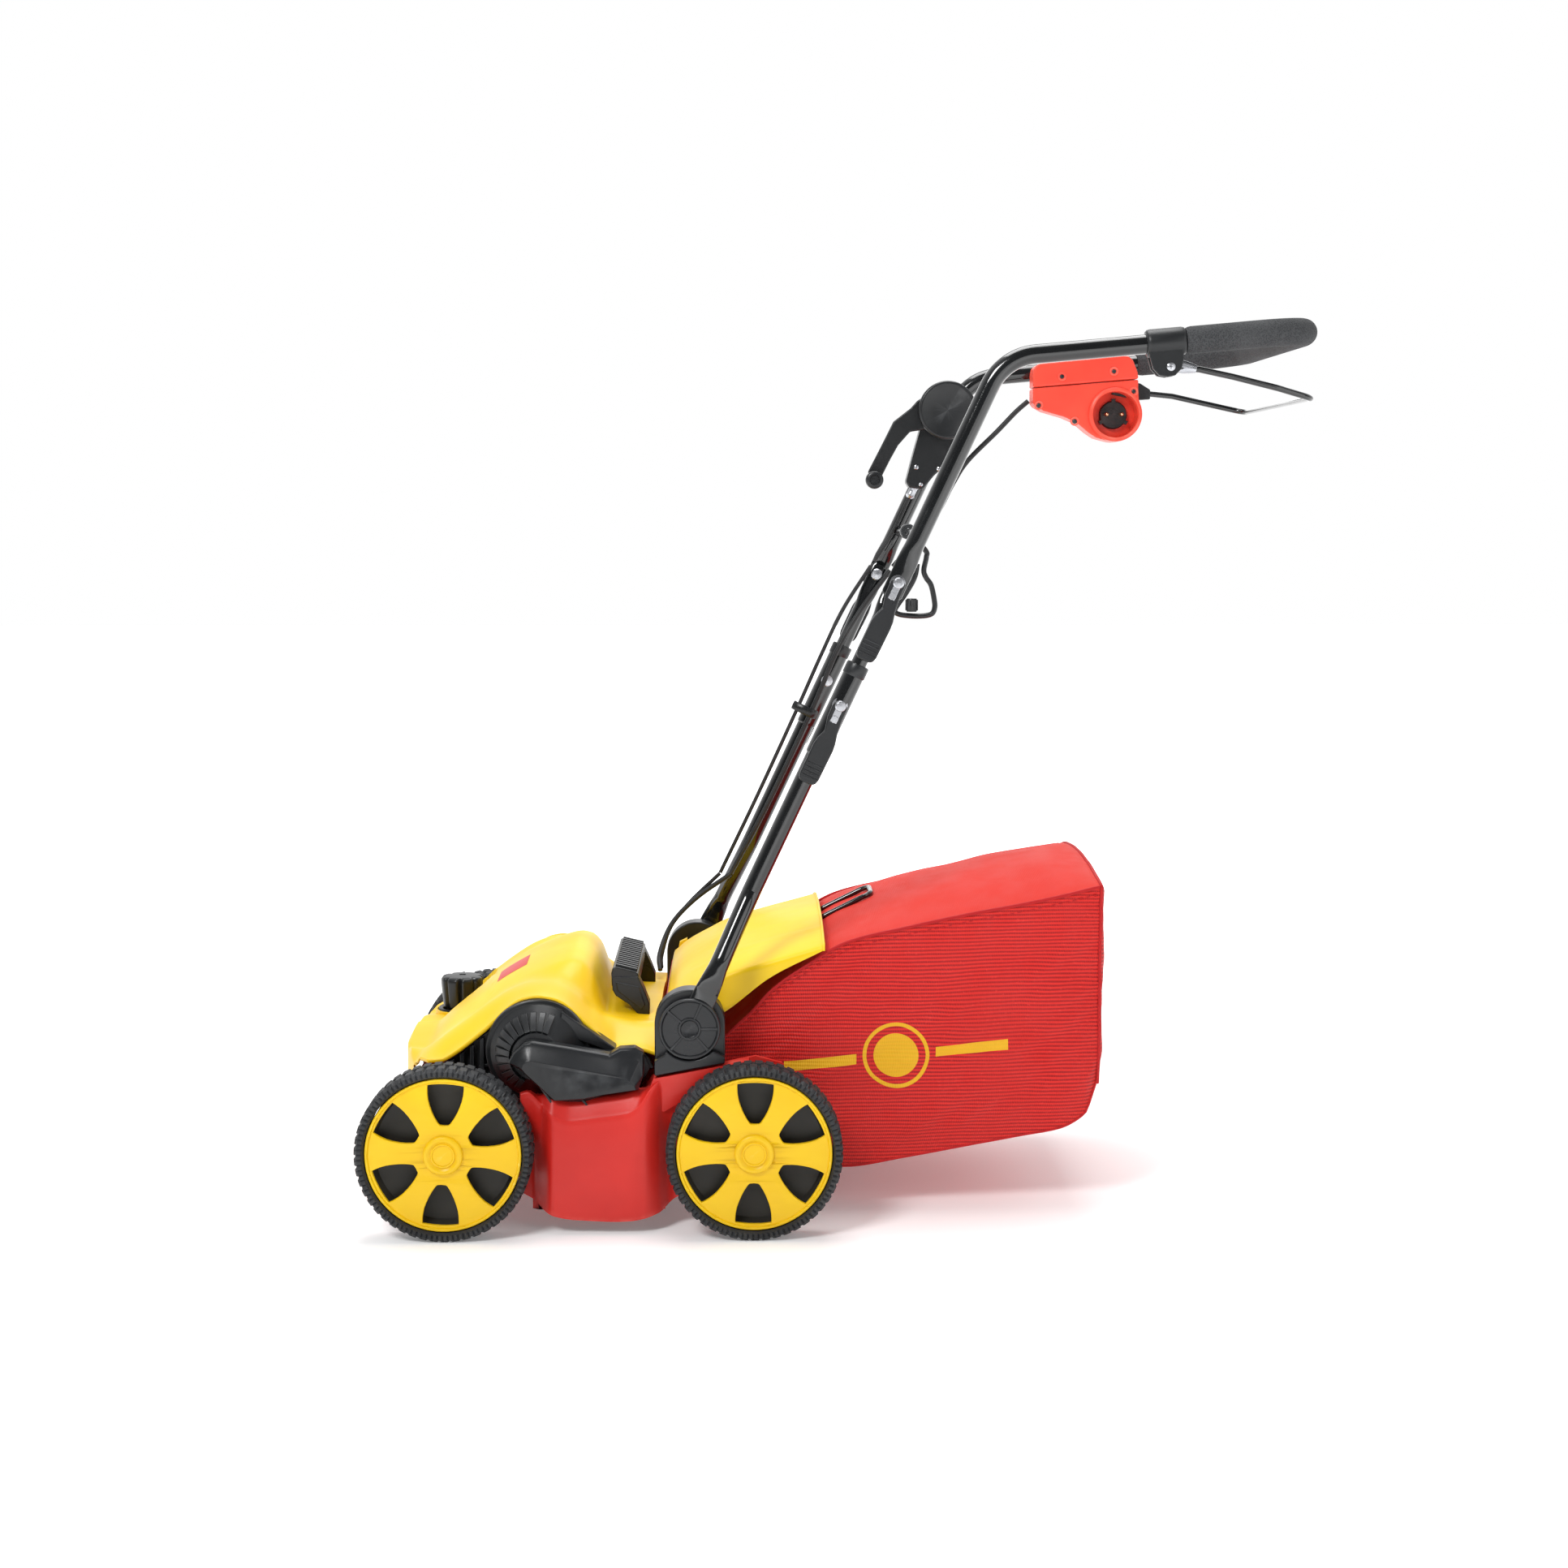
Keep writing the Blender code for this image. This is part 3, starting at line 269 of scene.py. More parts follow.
def woven_cloth(name, bright, deep):
    """Plain-woven cover cloth with fine crossing threads and soft creases; painted shade darkens the gaps
    between the threads.
    """
    n = Nodes(name)
    x, y, z = n.split()
    warp = n.ramp(n.math("PINGPONG", x, 0.0007), 0.0, 0.0007)
    weft = n.ramp(n.math("PINGPONG", y, 0.0007), 0.0, 0.0007)
    weave = n.times(warp, weft)
    # Painted shade: darker in the gaps between the threads, lighter where they cross.
    tone = n.mix(n.ramp(weave, 0.0, 1.0), deep, bright)
    tone = n.mix(n.cloud(10.0, 5.0, 0.35, 0.75, 0.0, 0.3), tone, tuple(c * 0.75 for c in bright))
    n.bump(weave, 0.0004, 0.7)
    n.bump(n.noise(20.0, 4.0), 0.002, 0.3)
    material = n.finish(tone, n.cloud(30.0, 3.0, 0.3, 0.8, 0.6, 0.75), specular=0.25)
    n.shader.inputs["Sheen Weight"].default_value = 0.04
    return material


YELLOW = moulded("yellow_plastic", (0.90, 0.60, 0.002), (0.82, 0.51, 0.002), (0.95, 0.76, 0.18), 0.40)
RED = moulded("red_plastic", (0.66, 0.022, 0.015), (0.55, 0.015, 0.010), (0.80, 0.20, 0.15), 0.40)
ORANGE = moulded("orange_plastic", (0.86, 0.075, 0.040), (0.74, 0.05, 0.028), (0.92, 0.30, 0.22), 0.40)
BLACK = moulded("black_plastic", (0.015, 0.016, 0.018), (0.009, 0.010, 0.011), (0.10, 0.105, 0.11), 0.32,
                0.00008)
DISH = moulded("dark_dish", (0.030, 0.027, 0.022), (0.018, 0.017, 0.014), (0.09, 0.085, 0.075), 0.5, 0.0001)
SOCKET_BLACK = moulded("insert_plastic", (0.020, 0.018, 0.018), (0.012, 0.011, 0.011), (0.1, 0.09, 0.09), 0.3)
TYRE = rubber("tyre_rubber", (0.030, 0.032, 0.035), (0.017, 0.018, 0.020), (0.085, 0.085, 0.082), 0.55)
CABLE = rubber("cable_sheath", (0.017, 0.018, 0.019), (0.010, 0.010, 0.011), (0.06, 0.06, 0.06), 0.42, 300.0,
               0.0001)
GLOSS = coated("gloss_enamel", (0.006, 0.007, 0.008), (0.004, 0.0045, 0.005), (0.08, 0.085, 0.09), 0.09)
STEEL = metal("zinc_steel", (0.62, 0.63, 0.66), (0.42, 0.43, 0.46), 0.22, (1.0, 12.0, 1.0))
BLADE = metal("blade_steel", (0.50, 0.49, 0.48), (0.28, 0.27, 0.26), 0.32, (9.0, 1.0, 1.0))
CAST = metal("cast_alloy", (0.50, 0.51, 0.52), (0.34, 0.35, 0.36), 0.42, (1.0, 1.0, 1.0))
BRASS = metal("pin_metal", (0.72, 0.50, 0.30), (0.5, 0.33, 0.18), 0.25, (1.0, 8.0, 1.0))
FOAM = foam()
BAG_SIDE = mesh_cloth("bag_mesh", (0.74, 0.022, 0.016), (0.44, 0.007, 0.008), 0.0044)
BAG_TOP = woven_cloth("bag_cover", (0.80, 0.042, 0.020), (0.62, 0.020, 0.012))
BAG_TRIM = woven_cloth("bag_binding", (0.66, 0.022, 0.022), (0.42, 0.010, 0.012))


# ---------------------------------------------------------------- shapes (millimetres)

class Shape:
    """Vertices and faces that can be added together."""

    def __init__(self, verts=(), faces=()):
        self.verts = [tuple(v) for v in verts]
        self.faces = [tuple(f) for f in faces]

    def __add__(self, other):
        shift = len(self.verts)
        return Shape(self.verts + other.verts, self.faces + [tuple(i + shift for i in f)
                                                             for f in other.faces])


def loft(rings, ring_closed=True, ends=True, around=False):
    """Skin over rings of equal length, capped at its ends or joined right round."""
    count, rows = len(rings[0]), len(rings)
    faces = []
    for a in range(rows if around else rows - 1):
        b = (a + 1) % rows
        for i in range(count if ring_closed else count - 1):
            j = (i + 1) % count
            faces.append((a * count + i, a * count + j, b * count + j, b * count + i))
    if ends and not around:
        faces.append(tuple(range(count)))
        faces.append(tuple(reversed(range((rows - 1) * count, rows * count))))
    return Shape([p for ring in rings for p in ring], faces)


def plate(outline, low, high):
    """An (X, Z) outline made solid between two Y levels."""
    return loft([[(x, y, z) for x, z in outline] for y in (low, high)])


def lathe(centre, profile, count=48, side=1):
    """Closed (radius, Y) profile turned about an axis along Y."""
    return loft([[at(polar(centre, r, TAU * i / count), side * y) for r, y in profile] for i in range(count)],
                around=True)


def at(flat, y):
    return (flat[0], y, flat[1])


def polar(centre, radius, angle, across=0.0):
    """The (X, Z) point at a radius and angle, moved sideways by across."""
    c, s = math.cos(angle), math.sin(angle)
    return (centre[0] + radius * c - across * s, centre[1] + radius * s + across * c)


def arc(centre, radius, start, step, count):
    """Points round a circle, every step degrees."""
    return [polar(centre, radius, math.radians(start + step * k)) for k in range(count)]


def fin(centre, profile, angle, half_thick, side=1):
    """A (radius, Y) outline standing out from an axis along Y."""
    return loft([[at(polar(centre, r, angle, w), side * y) for r, y in profile]
                 for w in (-half_thick, half_thick)])


def spoke(centre, outline, angle, low, high):
    """A flat bar along a radius; its outline is (radius, across)."""
    return plate([polar(centre, r, angle, w) for r, w in outline], low, high)


def total(shapes):
    return sum(shapes, Shape())


def spun(centre, profile, count=48):
    """Closed (radius, Z) profile turned about an upright axis."""
    return loft([[(centre[0] + r * math.cos(TAU * i / count), centre[1] + r * math.sin(TAU * i / count), z)
                  for r, z in profile] for i in range(count)], around=True)


def tube(points, radii, sides=16, closed=False):
    """A tube. Radii are one number, or for each point a number or (across Y, in the side plane)."""
    path = [Vector(p) for p in points]
    side = Vector((0, 1, 0))
    rings = []
    for i, here in enumerate(path):
        before = path[i - 1] if i or closed else here
        after = path[(i + 1) % len(path)] if closed or i < len(path) - 1 else here
        along = (after - before).normalized()
        side = (side - along * side.dot(along)).normalized()
        up = along.cross(side)
        size = radii[i] if isinstance(radii, list) else radii
        wide, deep = size if isinstance(size, tuple) else (size, size)
        rings.append([here + side * (wide * math.cos(a)) + up * (deep * math.sin(a))
                      for a in (TAU * k / sides for k in range(sides))])
    return loft(rings, around=closed)


def bent(points, radius, steps=10):
    """Round a path's corners with arcs."""
    path = [Vector(p) for p in points]
    out = [path[0]]
    for before, here, after in zip(path, path[1:], path[2:]):
        a, b = (before - here).normalized(), (after - here).normalized()
        half = a.angle(b) / 2
        centre = here + (a + b).normalized() * (radius / math.sin(half))
        start = (here + a * (radius / math.tan(half)) - centre).normalized()
        end = (here + b * (radius / math.tan(half)) - centre).normalized()
        out += [centre + start.slerp(end, k / steps) * radius for k in range(steps + 1)]
    out.append(path[-1])
    return out


def curve(points, steps=6):
    """A smooth run through the points."""
    p = [Vector(q) for q in points]
    p = [2 * p[0] - p[1]] + p + [2 * p[-1] - p[-2]]
    out = []
    for i in range(1, len(p) - 2):
        a, b, c, d = p[i - 1:i + 3]
        for k in range(steps):
            t = k / steps
            out.append(0.5 * (2 * b + (c - a) * t + (2 * a - 5 * b + 4 * c - d) * t ** 2
                              + (3 * b - a - 3 * c + d) * t ** 3))
    out.append(p[-2])
    return out


def along_handle(distance, y=0.0, off=0.0):
    """A point on the handle's line, by its distance from the fold pivot."""
    c, s = math.cos(HANDLE_ANGLE), math.sin(HANDLE_ANGLE)
    return (PIVOT[0] + distance * c + off * s, y, PIVOT[1] + distance * s - off * c)


def flat2(point):
    return (point[0], point[2])


def between(table, x, column=1):
    """A value from a table of rows that start with x, joined by a smooth curve."""
    if x <= table[0][0]:
        return table[0][column]
    for i, (a, b) in enumerate(zip(table, table[1:])):
        if x <= b[0]:
            t = (x - a[0]) / (b[0] - a[0])
            before = table[max(i - 1, 0)]
            after = table[min(i + 2, len(table) - 1)]
            span = b[0] - a[0]
            rise = b[column] - a[column]
            m0 = (b[column] - before[column]) / max(b[0] - before[0], 1e-6) * span
            m1 = (after[column] - a[column]) / max(after[0] - a[0], 1e-6) * span
            limit = 1.5 * abs(rise)
            m0, m1 = max(-limit, min(limit, m0)), max(-limit, min(limit, m1))
            return ((2 * t ** 3 - 3 * t ** 2 + 1) * a[column] + (t ** 3 - 2 * t ** 2 + t) * m0
                    + (3 * t ** 2 - 2 * t ** 3) * b[column] + (t ** 3 - t ** 2) * m1)
    return table[-1][column]


def mesh_of(name, shape):
    """A mesh in metres, with its faces outwards."""
    mesh = bpy.data.meshes.new(name)
    mesh.from_pydata([tuple(c * MM for c in v) for v in shape.verts], [], shape.faces)
    bm = bmesh.new()
    bm.from_mesh(mesh)
    bmesh.ops.remove_doubles(bm, verts=bm.verts, dist=WELD)
    bmesh.ops.recalc_face_normals(bm, faces=bm.faces)
    bm.to_mesh(mesh)
    bm.free()
    return mesh


def baked(item):
    """The mesh of an object with its modifiers applied."""
    bpy.context.view_layer.update()
    return bpy.data.meshes.new_from_object(item.evaluated_get(bpy.context.evaluated_depsgraph_get()))


def place(name, shape, material, body, node=None, **finish):
    """Make a piece from a shape, ride it on its body and let it stand for a CAD node."""
    return dress(bpy.data.objects.new(name, mesh_of(name, shape)), material, body, node, **finish)


def dress(item, material, body, node, bevel=0.0, segments=2, thick=0.0, sharp=38):
    bpy.context.collection.objects.link(item)
    materials = material if isinstance(material, list) else [material]
    for one in materials:
        item.data.materials.append(one)
    item.data.shade_smooth()
    item.data.set_sharp_from_angle(angle=math.radians(sharp))
    if thick:
        solid = item.modifiers.new("wall", "SOLIDIFY")
        solid.thickness, solid.offset = thick * MM, -1.0
    if bevel:
        edge = item.modifiers.new("edges", "BEVEL")
        edge.width, edge.segments = bevel * MM, segments
        edge.limit_method, edge.angle_limit = "ANGLE", math.radians(28)
        edge.harden_normals = True
    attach(item, body)
    if node:
        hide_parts(node)
    return item


def refined(node, material, bevel, segments=2, move=None):
    """A copy of a CAD node with clean flats and rounded edges, in its place."""
    source = frame["nodes"][node]
    bm = bmesh.new()
    bm.from_mesh(source.data)
    for v in bm.verts if move else ():
        move(v.co)
    bmesh.ops.remove_doubles(bm, verts=bm.verts, dist=WELD)
    bmesh.ops.dissolve_limit(bm, angle_limit=math.radians(1.0), verts=bm.verts, edges=bm.edges)
    mesh = bpy.data.meshes.new(node + "_look")
    bm.to_mesh(mesh)
    bm.free()
    item = bpy.data.objects.new(node + "_look", mesh)
    return dress(item, material, source["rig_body"], node, bevel=bevel, segments=segments)


def repaint(node, material):
    """A better finish on a CAD node that keeps its own shape."""
    data = frame["nodes"][node].data
    data.materials.clear()
    data.materials.append(material)
    data.shade_smooth()
    data.set_sharp_from_angle(angle=math.radians(30))


def screw(centre, y, facing, radius=3.4):
    """A recessed-cross pan head, its face towards facing along Y."""
    f = facing
    head = [(AXIS, y), (radius, y), (radius, y + f * 1.0), (radius * 0.7, y + f * 1.9), (AXIS, y + f * 2.2)]
    shape = lathe(centre, head, 20)
    for dx, dz in ((radius * 0.55, 0.5), (0.5, radius * 0.55)):
        box = [(centre[0] - dx, centre[1] - dz), (centre[0] + dx, centre[1] - dz),
               (centre[0] + dx, centre[1] + dz), (centre[0] - dx, centre[1] + dz)]
        shape += plate(box, y + f * 2.0, y + f * 2.6)
    return shape


# ---------------------------------------------------------------- wheels

def tyre(hub, side):
    """Two staggered rows of tread blocks and a sidewall with fine radial grooves."""
    half = [(88.6, 290), (90.5, 293.2), (91.2, 294.4), (96.0, 294.4), (96.8, 293.6), (99.5, 289.5),
            (99.5, 284), (99.5, 275.2), (97.0, 274.4), (97.0, 271.6), (99.5, 270.8), (99.5, 262),
            (99.5, 256.5), (96.8, 252.4), (96.0, 251.6), (91.2, 251.6), (90.5, 252.8), (88.6, 256)]
    pitch, sides = 8, 400
    blocks, gaps = (5, 6, 7, 10, 11, 12), (2, 3, 4, 13, 14, 15)
    rings = []
    for i in range(sides):
        ring = []
        for k, (r, y) in enumerate(half):
            row = 0 if k < 9 else pitch // 2
            if k in blocks and (i + row) % pitch < 2:
                r -= 2.7
            elif k in gaps and (i + 1) % 4 == 0:
                y += -1.5 if y > 273 else 1.5
                r -= 0.6 if k in (4, 13) else 0
            ring.append(at(polar(hub, r, TAU * i / sides), side * y))
        rings.append(ring)
    return loft(rings, around=True)


def wheel_cover(name, hub, side, turn):
    """Six-spoke cover: filled outline with rounded windows, pressed out and domed."""
    data = bpy.data.curves.new(name, "CURVE")
    data.dimensions, data.fill_mode = "2D", "BOTH"
    data.extrude, data.bevel_depth, data.bevel_resolution = 1.6 * MM, 1.3 * MM, 2

    def spline(points):
        line = data.splines.new("POLY")
        line.points.add(len(points) - 1)
        for target, (a, b) in zip(line.points, points):
            target.co = (a * MM, b * MM, 0, 1)
        line.use_cyclic_u = True

    spline(arc((0, 0), 86.2, 0, 2.5, 144))
    bell = [(82.2, 0.0), (82.0, 8.0), (81.3, 15.0), (80.4, 20.6), (79.4, 21.5), (75, 21.6), (69, 21.2),
            (62, 20.0), (55, 17.8), (48, 15.0), (42, 12.0), (37, 8.9), (34.4, 7.0), (33, 5.2), (32.6, 0.0)]
    window = bell + [(r, -w) for r, w in reversed(bell[1:-1])]
    for k in range(6):
        spline([polar((0, 0), r, math.radians(90 + turn) + k * TAU / 6, w) for r, w in window])
    flat = bpy.data.objects.new(name, data)
    bpy.context.collection.objects.link(flat)
    mesh = baked(flat)
    bpy.data.objects.remove(flat)
    bm = bmesh.new()
    bm.from_mesh(mesh)
    bmesh.ops.remove_doubles(bm, verts=bm.verts, dist=WELD)
    bmesh.ops.triangulate(bm, faces=bm.faces)
    for radius in (25.5, 45, 58, 70, 83.2, 84.6):
        cut_ring(bm, radius * MM)
    for v in bm.verts:
        x, z, lift = v.co / MM
        r = math.hypot(x, z)
        dome = 1.9 * (1 - ((r - 52) / 30) ** 2) - 1.0 if r < 84 else 1.1
        v.co = Vector((hub[0] + x, side * (286.6 + lift + dome), hub[1] + z)) * MM
    bmesh.ops.recalc_face_normals(bm, faces=bm.faces)
    bm.to_mesh(mesh)
    bm.free()
    return bpy.data.objects.new(name, mesh)


def cut_ring(bm, radius):
    """Cut the flat faces along a circle, as 24 straight cuts, so that they can be domed."""
    for k in range(24):
        a = TAU * (k + 0.5) / 24
        near = []
        for face in bm.faces:
            spot = face.calc_center_median()
            if abs((math.atan2(spot.y, spot.x) - a + math.pi) % TAU - math.pi) < TAU / 20:
                near.append(face)
        edges = {e for f in near for e in f.edges}
        verts = {v for f in near for v in f.verts}
        out = Vector((math.cos(a), math.sin(a), 0))
        bmesh.ops.bisect_plane(bm, geom=[*near, *edges, *verts], dist=1e-7, plane_co=out * radius,
                               plane_no=out)


def wheels():
    for where, hub, turn in (("front", FRONT_HUB, -3.0), ("rear", REAR_HUB, -1.0)):
        for word, side in SIDES.items():
            tag = f"{where}_{word}"
            body = "wheel_" + tag
            place("tread_" + tag, tyre(hub, side), TYRE, body, "tyre_" + tag, sharp=24)
            dress(wheel_cover("spokes_" + tag, hub, side, turn), YELLOW, body, "cover_" + tag, sharp=50)
            cap = [(AXIS, 284), (21.8, 284), (22.6, 288.0), (22.2, 291.4), (20.8, 293.2), (18.8, 293.8),
                   (16.8, 293.4), (15.4, 291.4), (13.9, 291.3), (13.3, 292.6), (12.1, 292.6), (11.4, 291.2),
                   (AXIS, 291.4)]
            place("hubcap_" + tag, lathe(hub, cap, 72, side), YELLOW, body, sharp=60)
            dish = [(7, 250), (14, 250), (15, 270), (24, 273), (60, 270), (78, 272), (83.5, 282),
                    (85.6, 284.5), (87.8, 284.5), (87.8, 256), (85.5, 254), (84, 256), (82.5, 266), (76, 268),
                    (60, 266.5), (24, 269.5), (18, 268), (16.5, 246), (7, 246)]
            web = [(16, 252), (50, 262), (82, 258), (82, 268), (20, 269)]
            webs = total(fin(hub, web, TAU * k / 12, 1.2, side) for k in range(12))
            place("dish_" + tag, lathe(hub, dish, 96, side) + webs, DISH, body, "rim_" + tag, sharp=30)


# ---------------------------------------------------------------- yellow hood and flap

# (X, Z) of the hood's lower edge over the side panels, its middle, and the shoulders beside the middle
EDGE = [(-516, 150), (-491, 176), (-485, 186), (-455, 189), (-408, 223), (-381, 248), (-364, 259),
        (-348, 262), (-332, 260), (-317, 254), (-299, 238), (-272, 212), (-256, 201), (-227, 200),
        (-209, 194)]
CREST = [(-518, 182), (-512, 187), (-489, 188), (-484, 190), (-470, 203), (-454, 216), (-430, 234),
         (-404, 254), (-381, 268), (-357, 280), (-330, 290), (-314, 293), (-301, 290), (-290, 279),
         (-280, 252), (-271, 233), (-240, 228), (-209, 226)]
SHOULDER = [(-518, 181), (-512, 186), (-489, 187), (-484, 189), (-470, 198), (-454, 210), (-430, 227),
            (-404, 246), (-381, 260), (-357, 268), (-330, 269), (-314, 264), (-301, 254), (-290, 243),
            (-280, 236), (-271, 230), (-240, 222), (-209, 220)]
FALL = 14.0  # how much the middle drops towards its sides
SHELF = 184.0  # the flat round the knob
HOOD_FRONT, HOOD_LENGTH, HOOD_STEPS = -513, 304, 96


def hood_half(x):
    return min(200.0, 178 + (x + 512) * 0.9)


def hood():
    """One moulded skin: a raised middle with steep cheeks, and arches over both side panels."""
    across = [-1 + 2 * i / 88 for i in range(89)]
    rows = []
    for i in range(HOOD_STEPS + 1):
        x = HOOD_FRONT + HOOD_LENGTH * i / HOOD_STEPS
        half = hood_half(x)
        row = []
        for t in across:
            u = abs(t)
            px = set_back(x, t)
            low, crest, shoulder = between(EDGE, px), between(CREST, px), between(SHOULDER, px)
            mid = smooth((0.74 - u) / 0.26)
            side = shoulder + (low - shoulder) * smooth((u - 0.72) / 0.28) ** 1.25
            top = crest - FALL * (u / 0.66) ** 2
            z = side + (top - side) * mid
            if u > 0.985:
                z = low - 0.4
            aside = max(abs(t * half - KNOB[1]) - 40, 0.0)
            reach = math.hypot(max(x - KNOB[0], 0.0), aside)
            z = SHELF + (z - SHELF) * smooth((reach - 33) / 6) if z > SHELF else z
            seam = abs(x + 405 + 14 * (1 - u)) < 1.6 and u < 0.5
            row.append((px, t * half, z - (1.0 if seam else 0.0)))
        rows.append(row)
    for drop in (4, 24):
        rows.append([(-208.6, y, max(z - drop, 178)) for _, y, z in rows[HOOD_STEPS]])
    front = [[(x + plan(t), t * half, min(z, rows[0][i][2] - 2)) for i, t in enumerate(across)] for x, z,
             half in ((-516.5, 139, 168), (-517, 150, 169), (-516.6, 179, 170))]
    item = place("hood_shell", loft(front + rows, ring_closed=False, ends=False), YELLOW, "root", "hood",
                 thick=2.6)
    cutter("cut_knob", spun(KNOB, [(AXIS, 150), (31.2, 150), (31.2, 240), (AXIS, 240)], 64), item)
    rim = [(30.6, 178), (30.9, 186.2), (31.6, 187.2), (33.4, 187.0), (34.0, 185.0), (33.4, 178)]
    place("knob_collar", spun(KNOB, rim, 72), YELLOW, "root", sharp=60)
    for word, side in SIDES.items():
        line = [(set_back(x, 1), side * (hood_half(x) + 0.2), between(EDGE, set_back(x, 1)) - 1.2)
                for x in [-506 + 297 * i / 90 for i in range(91)]]
        place("hood_lip_" + word, tube(line, [(1.7, 2.4)] * len(line), 10), YELLOW, "root", sharp=60)
    place("hood_plate", decal(), RED, "root", sharp=60)


def plan(t):
    """How far the hood's front edge is set back towards its corners."""
    return 24 * abs(t) ** 2.6


def set_back(x, t):
    """The hood's length position, with the front corners drawn back."""
    return x + plan(t) * (1 - smooth((x + 513) / 60))


def decal():
    """A plain printed patch on the slope of the hood's middle."""
    rows = []
    for i in range(15):
        x = -408 + 36 * i / 14
        rows.append([(x, y, between(CREST, x) - FALL * (y / 132) ** 2 + 0.3)
                     for y in [-2 - 52 * k / 11 for k in range(12)]])
    low = [[(x, y, z - 0.6) for x, y, z in row] for row in rows]
    return loft(rows, False, False) + loft(low, False, False)


def smooth(t):
    """An even rise from 0 to 1."""
    t = max(0.0, min(1.0, t))
    return t * t * (3 - 2 * t)


def cutter(name, shape, target):
    """Cut a shape out of a piece, and bake the cut in."""
    helper = bpy.data.objects.new(name, mesh_of(name, shape))
    bpy.context.collection.objects.link(helper)
    step = target.modifiers.new(name, "BOOLEAN")
    step.operation, step.solver, step.object = "DIFFERENCE", "EXACT", helper
    mesh = baked(target)
    target.modifiers.clear()
    target.data = mesh
    bpy.data.objects.remove(helper)


# X, and Z of the flap's skirt, side edge and middle
FLAP = [(-199, 232, 244, 252), (-184, 228, 256, 272), (-150, 232, 275, 292), (-128, 242, 286, 303),
        (-80, 279, 300, 318), (-18, 311, 318, 333)]


def flap():
    rows = []
    for i in range(73):
        x = -199.5 + 181 * i / 72
        skirt, edge, crest = (between(FLAP, x, k) for k in (1, 2, 3))
        half = 187.5
        row = [(x, -half + 0.5, skirt + (edge - 7 - skirt) * k / 7) for k in range(8)]
        for k in range(1, 6):
            a = math.pi / 2 * k / 6
            row.append((x, -half + 7 * (1 - math.cos(a)) + 0.5, edge - 7 + 7 * math.sin(a)))
        for k in range(1, 30):
            t = k / 30
            y = -half + 7.5 + (half - 7.5) * t
            z = edge + (crest - edge) * (1 - (1 - t) ** 2.4)
            ridge = 1.6 * smooth((abs(y) - 118) / 5) * smooth((126 - abs(y)) / 5)
            row.append((x, y, z + ridge * smooth((x + 190) / 30)))
        rows.append(row + [(x, 0, crest)] + [(x, -y, z) for _, y, z in reversed(row)])
    lip = [(p[0] + 1.6, p[1], p[2] + 1.4) for p in rows[-1]]
    rows.append(lip)
    place("flap_skin", loft(rows, False, False), YELLOW, "rear_flap", "rear_flap", thick=2.4)
    edge_line = [(p[0] - 0.4, p[1], p[2] - 1.0) for p in lip]
    place("flap_bead", tube(edge_line, 1.7, 10), YELLOW, "rear_flap", sharp=60)
    outline = arc((-190, 243), 6.2, 200, 12, 12) + [(-183, 262), (-193, 257)]
    knuckles = total(plate(outline, y - 5, y + 5) for y in (-170, -75, 75, 170))
    place("flap_knuckles", knuckles, YELLOW, "rear_flap", bevel=0.5)


# ---------------------------------------------------------------- housing, motor and belt side

def tuck_deck(co):
    """Draw the deck's bulge in behind the skirt that stands for it."""
    if abs(co.y) > 233 * MM and co.x < -196 * MM and co.z < 134.5 * MM:
        co.y = math.copysign(233 * MM, co.y)


def tuck_vent(co):
    """Keep the vent panel's top under the hood's edge."""
    co.z = min(co.z, (between(EDGE, co.x / MM) - 7) * MM)


def deck():
    refined("deck", RED, 1.2, 3, tuck_deck)
    for word, side in SIDES.items():
        top = [(-363, 159), (-353, 161), (-341, 150), (-330, 141), (-318, 135), (-306, 132), (-275, 135.5),
               (-242, 140), (-230, 147), (-222, 157), (-214, 168), (-198, 177), (-170, 182), (-138, 189)]
        low = [(-363, 40), (-350, 33), (-334, 24), (-302, 17), (-243, 15), (-205, 22), (-190, 33), (-138, 60)]
        out = [(-363, 234), (-350, 236), (-330, 262.5), (-324, 265), (-238, 265), (-222, 263.5), (-207, 254),
               (-196, 240), (-188, 236), (-138, 234)]
        rows = []
        for i in range(113):
            x = -363 + 225 * i / 112
            t_low, t_top, reach = between(low, x), between(top, x), between(out, x)
            rise = 20 * smooth((x + 350) / 26) * smooth((-214 - x) / 24)
            brow = reach - 2 if reach > 251 else 249
            face = [(x, 231, t_top + rise - 2 * (rise < 1)), (x, 240, t_top + rise),
                    (x, brow - 11, t_top + 0.96 * rise), (x, brow - 6, t_top + 0.62 * rise),
                    (x, brow - 2.2, t_top + 0.12 * rise), (x, brow - 0.8, t_top)]
            for k in range(18):
                s = k / 17
                y = brow + (reach - brow) * smooth(s * (4 if reach > brow else 1.6))
                face.append((x, y, t_top - 1.2 - (t_top - 1.2 - t_low) * s))
            face.append((x, face[-1][1] - 2.4, t_low - 0.2))
            rows.append([(a, side * b, c) for a, b, c in face])
        place("deck_skirt_" + word, loft(rows, False, False), RED, "root", thick=2.2, sharp=60)


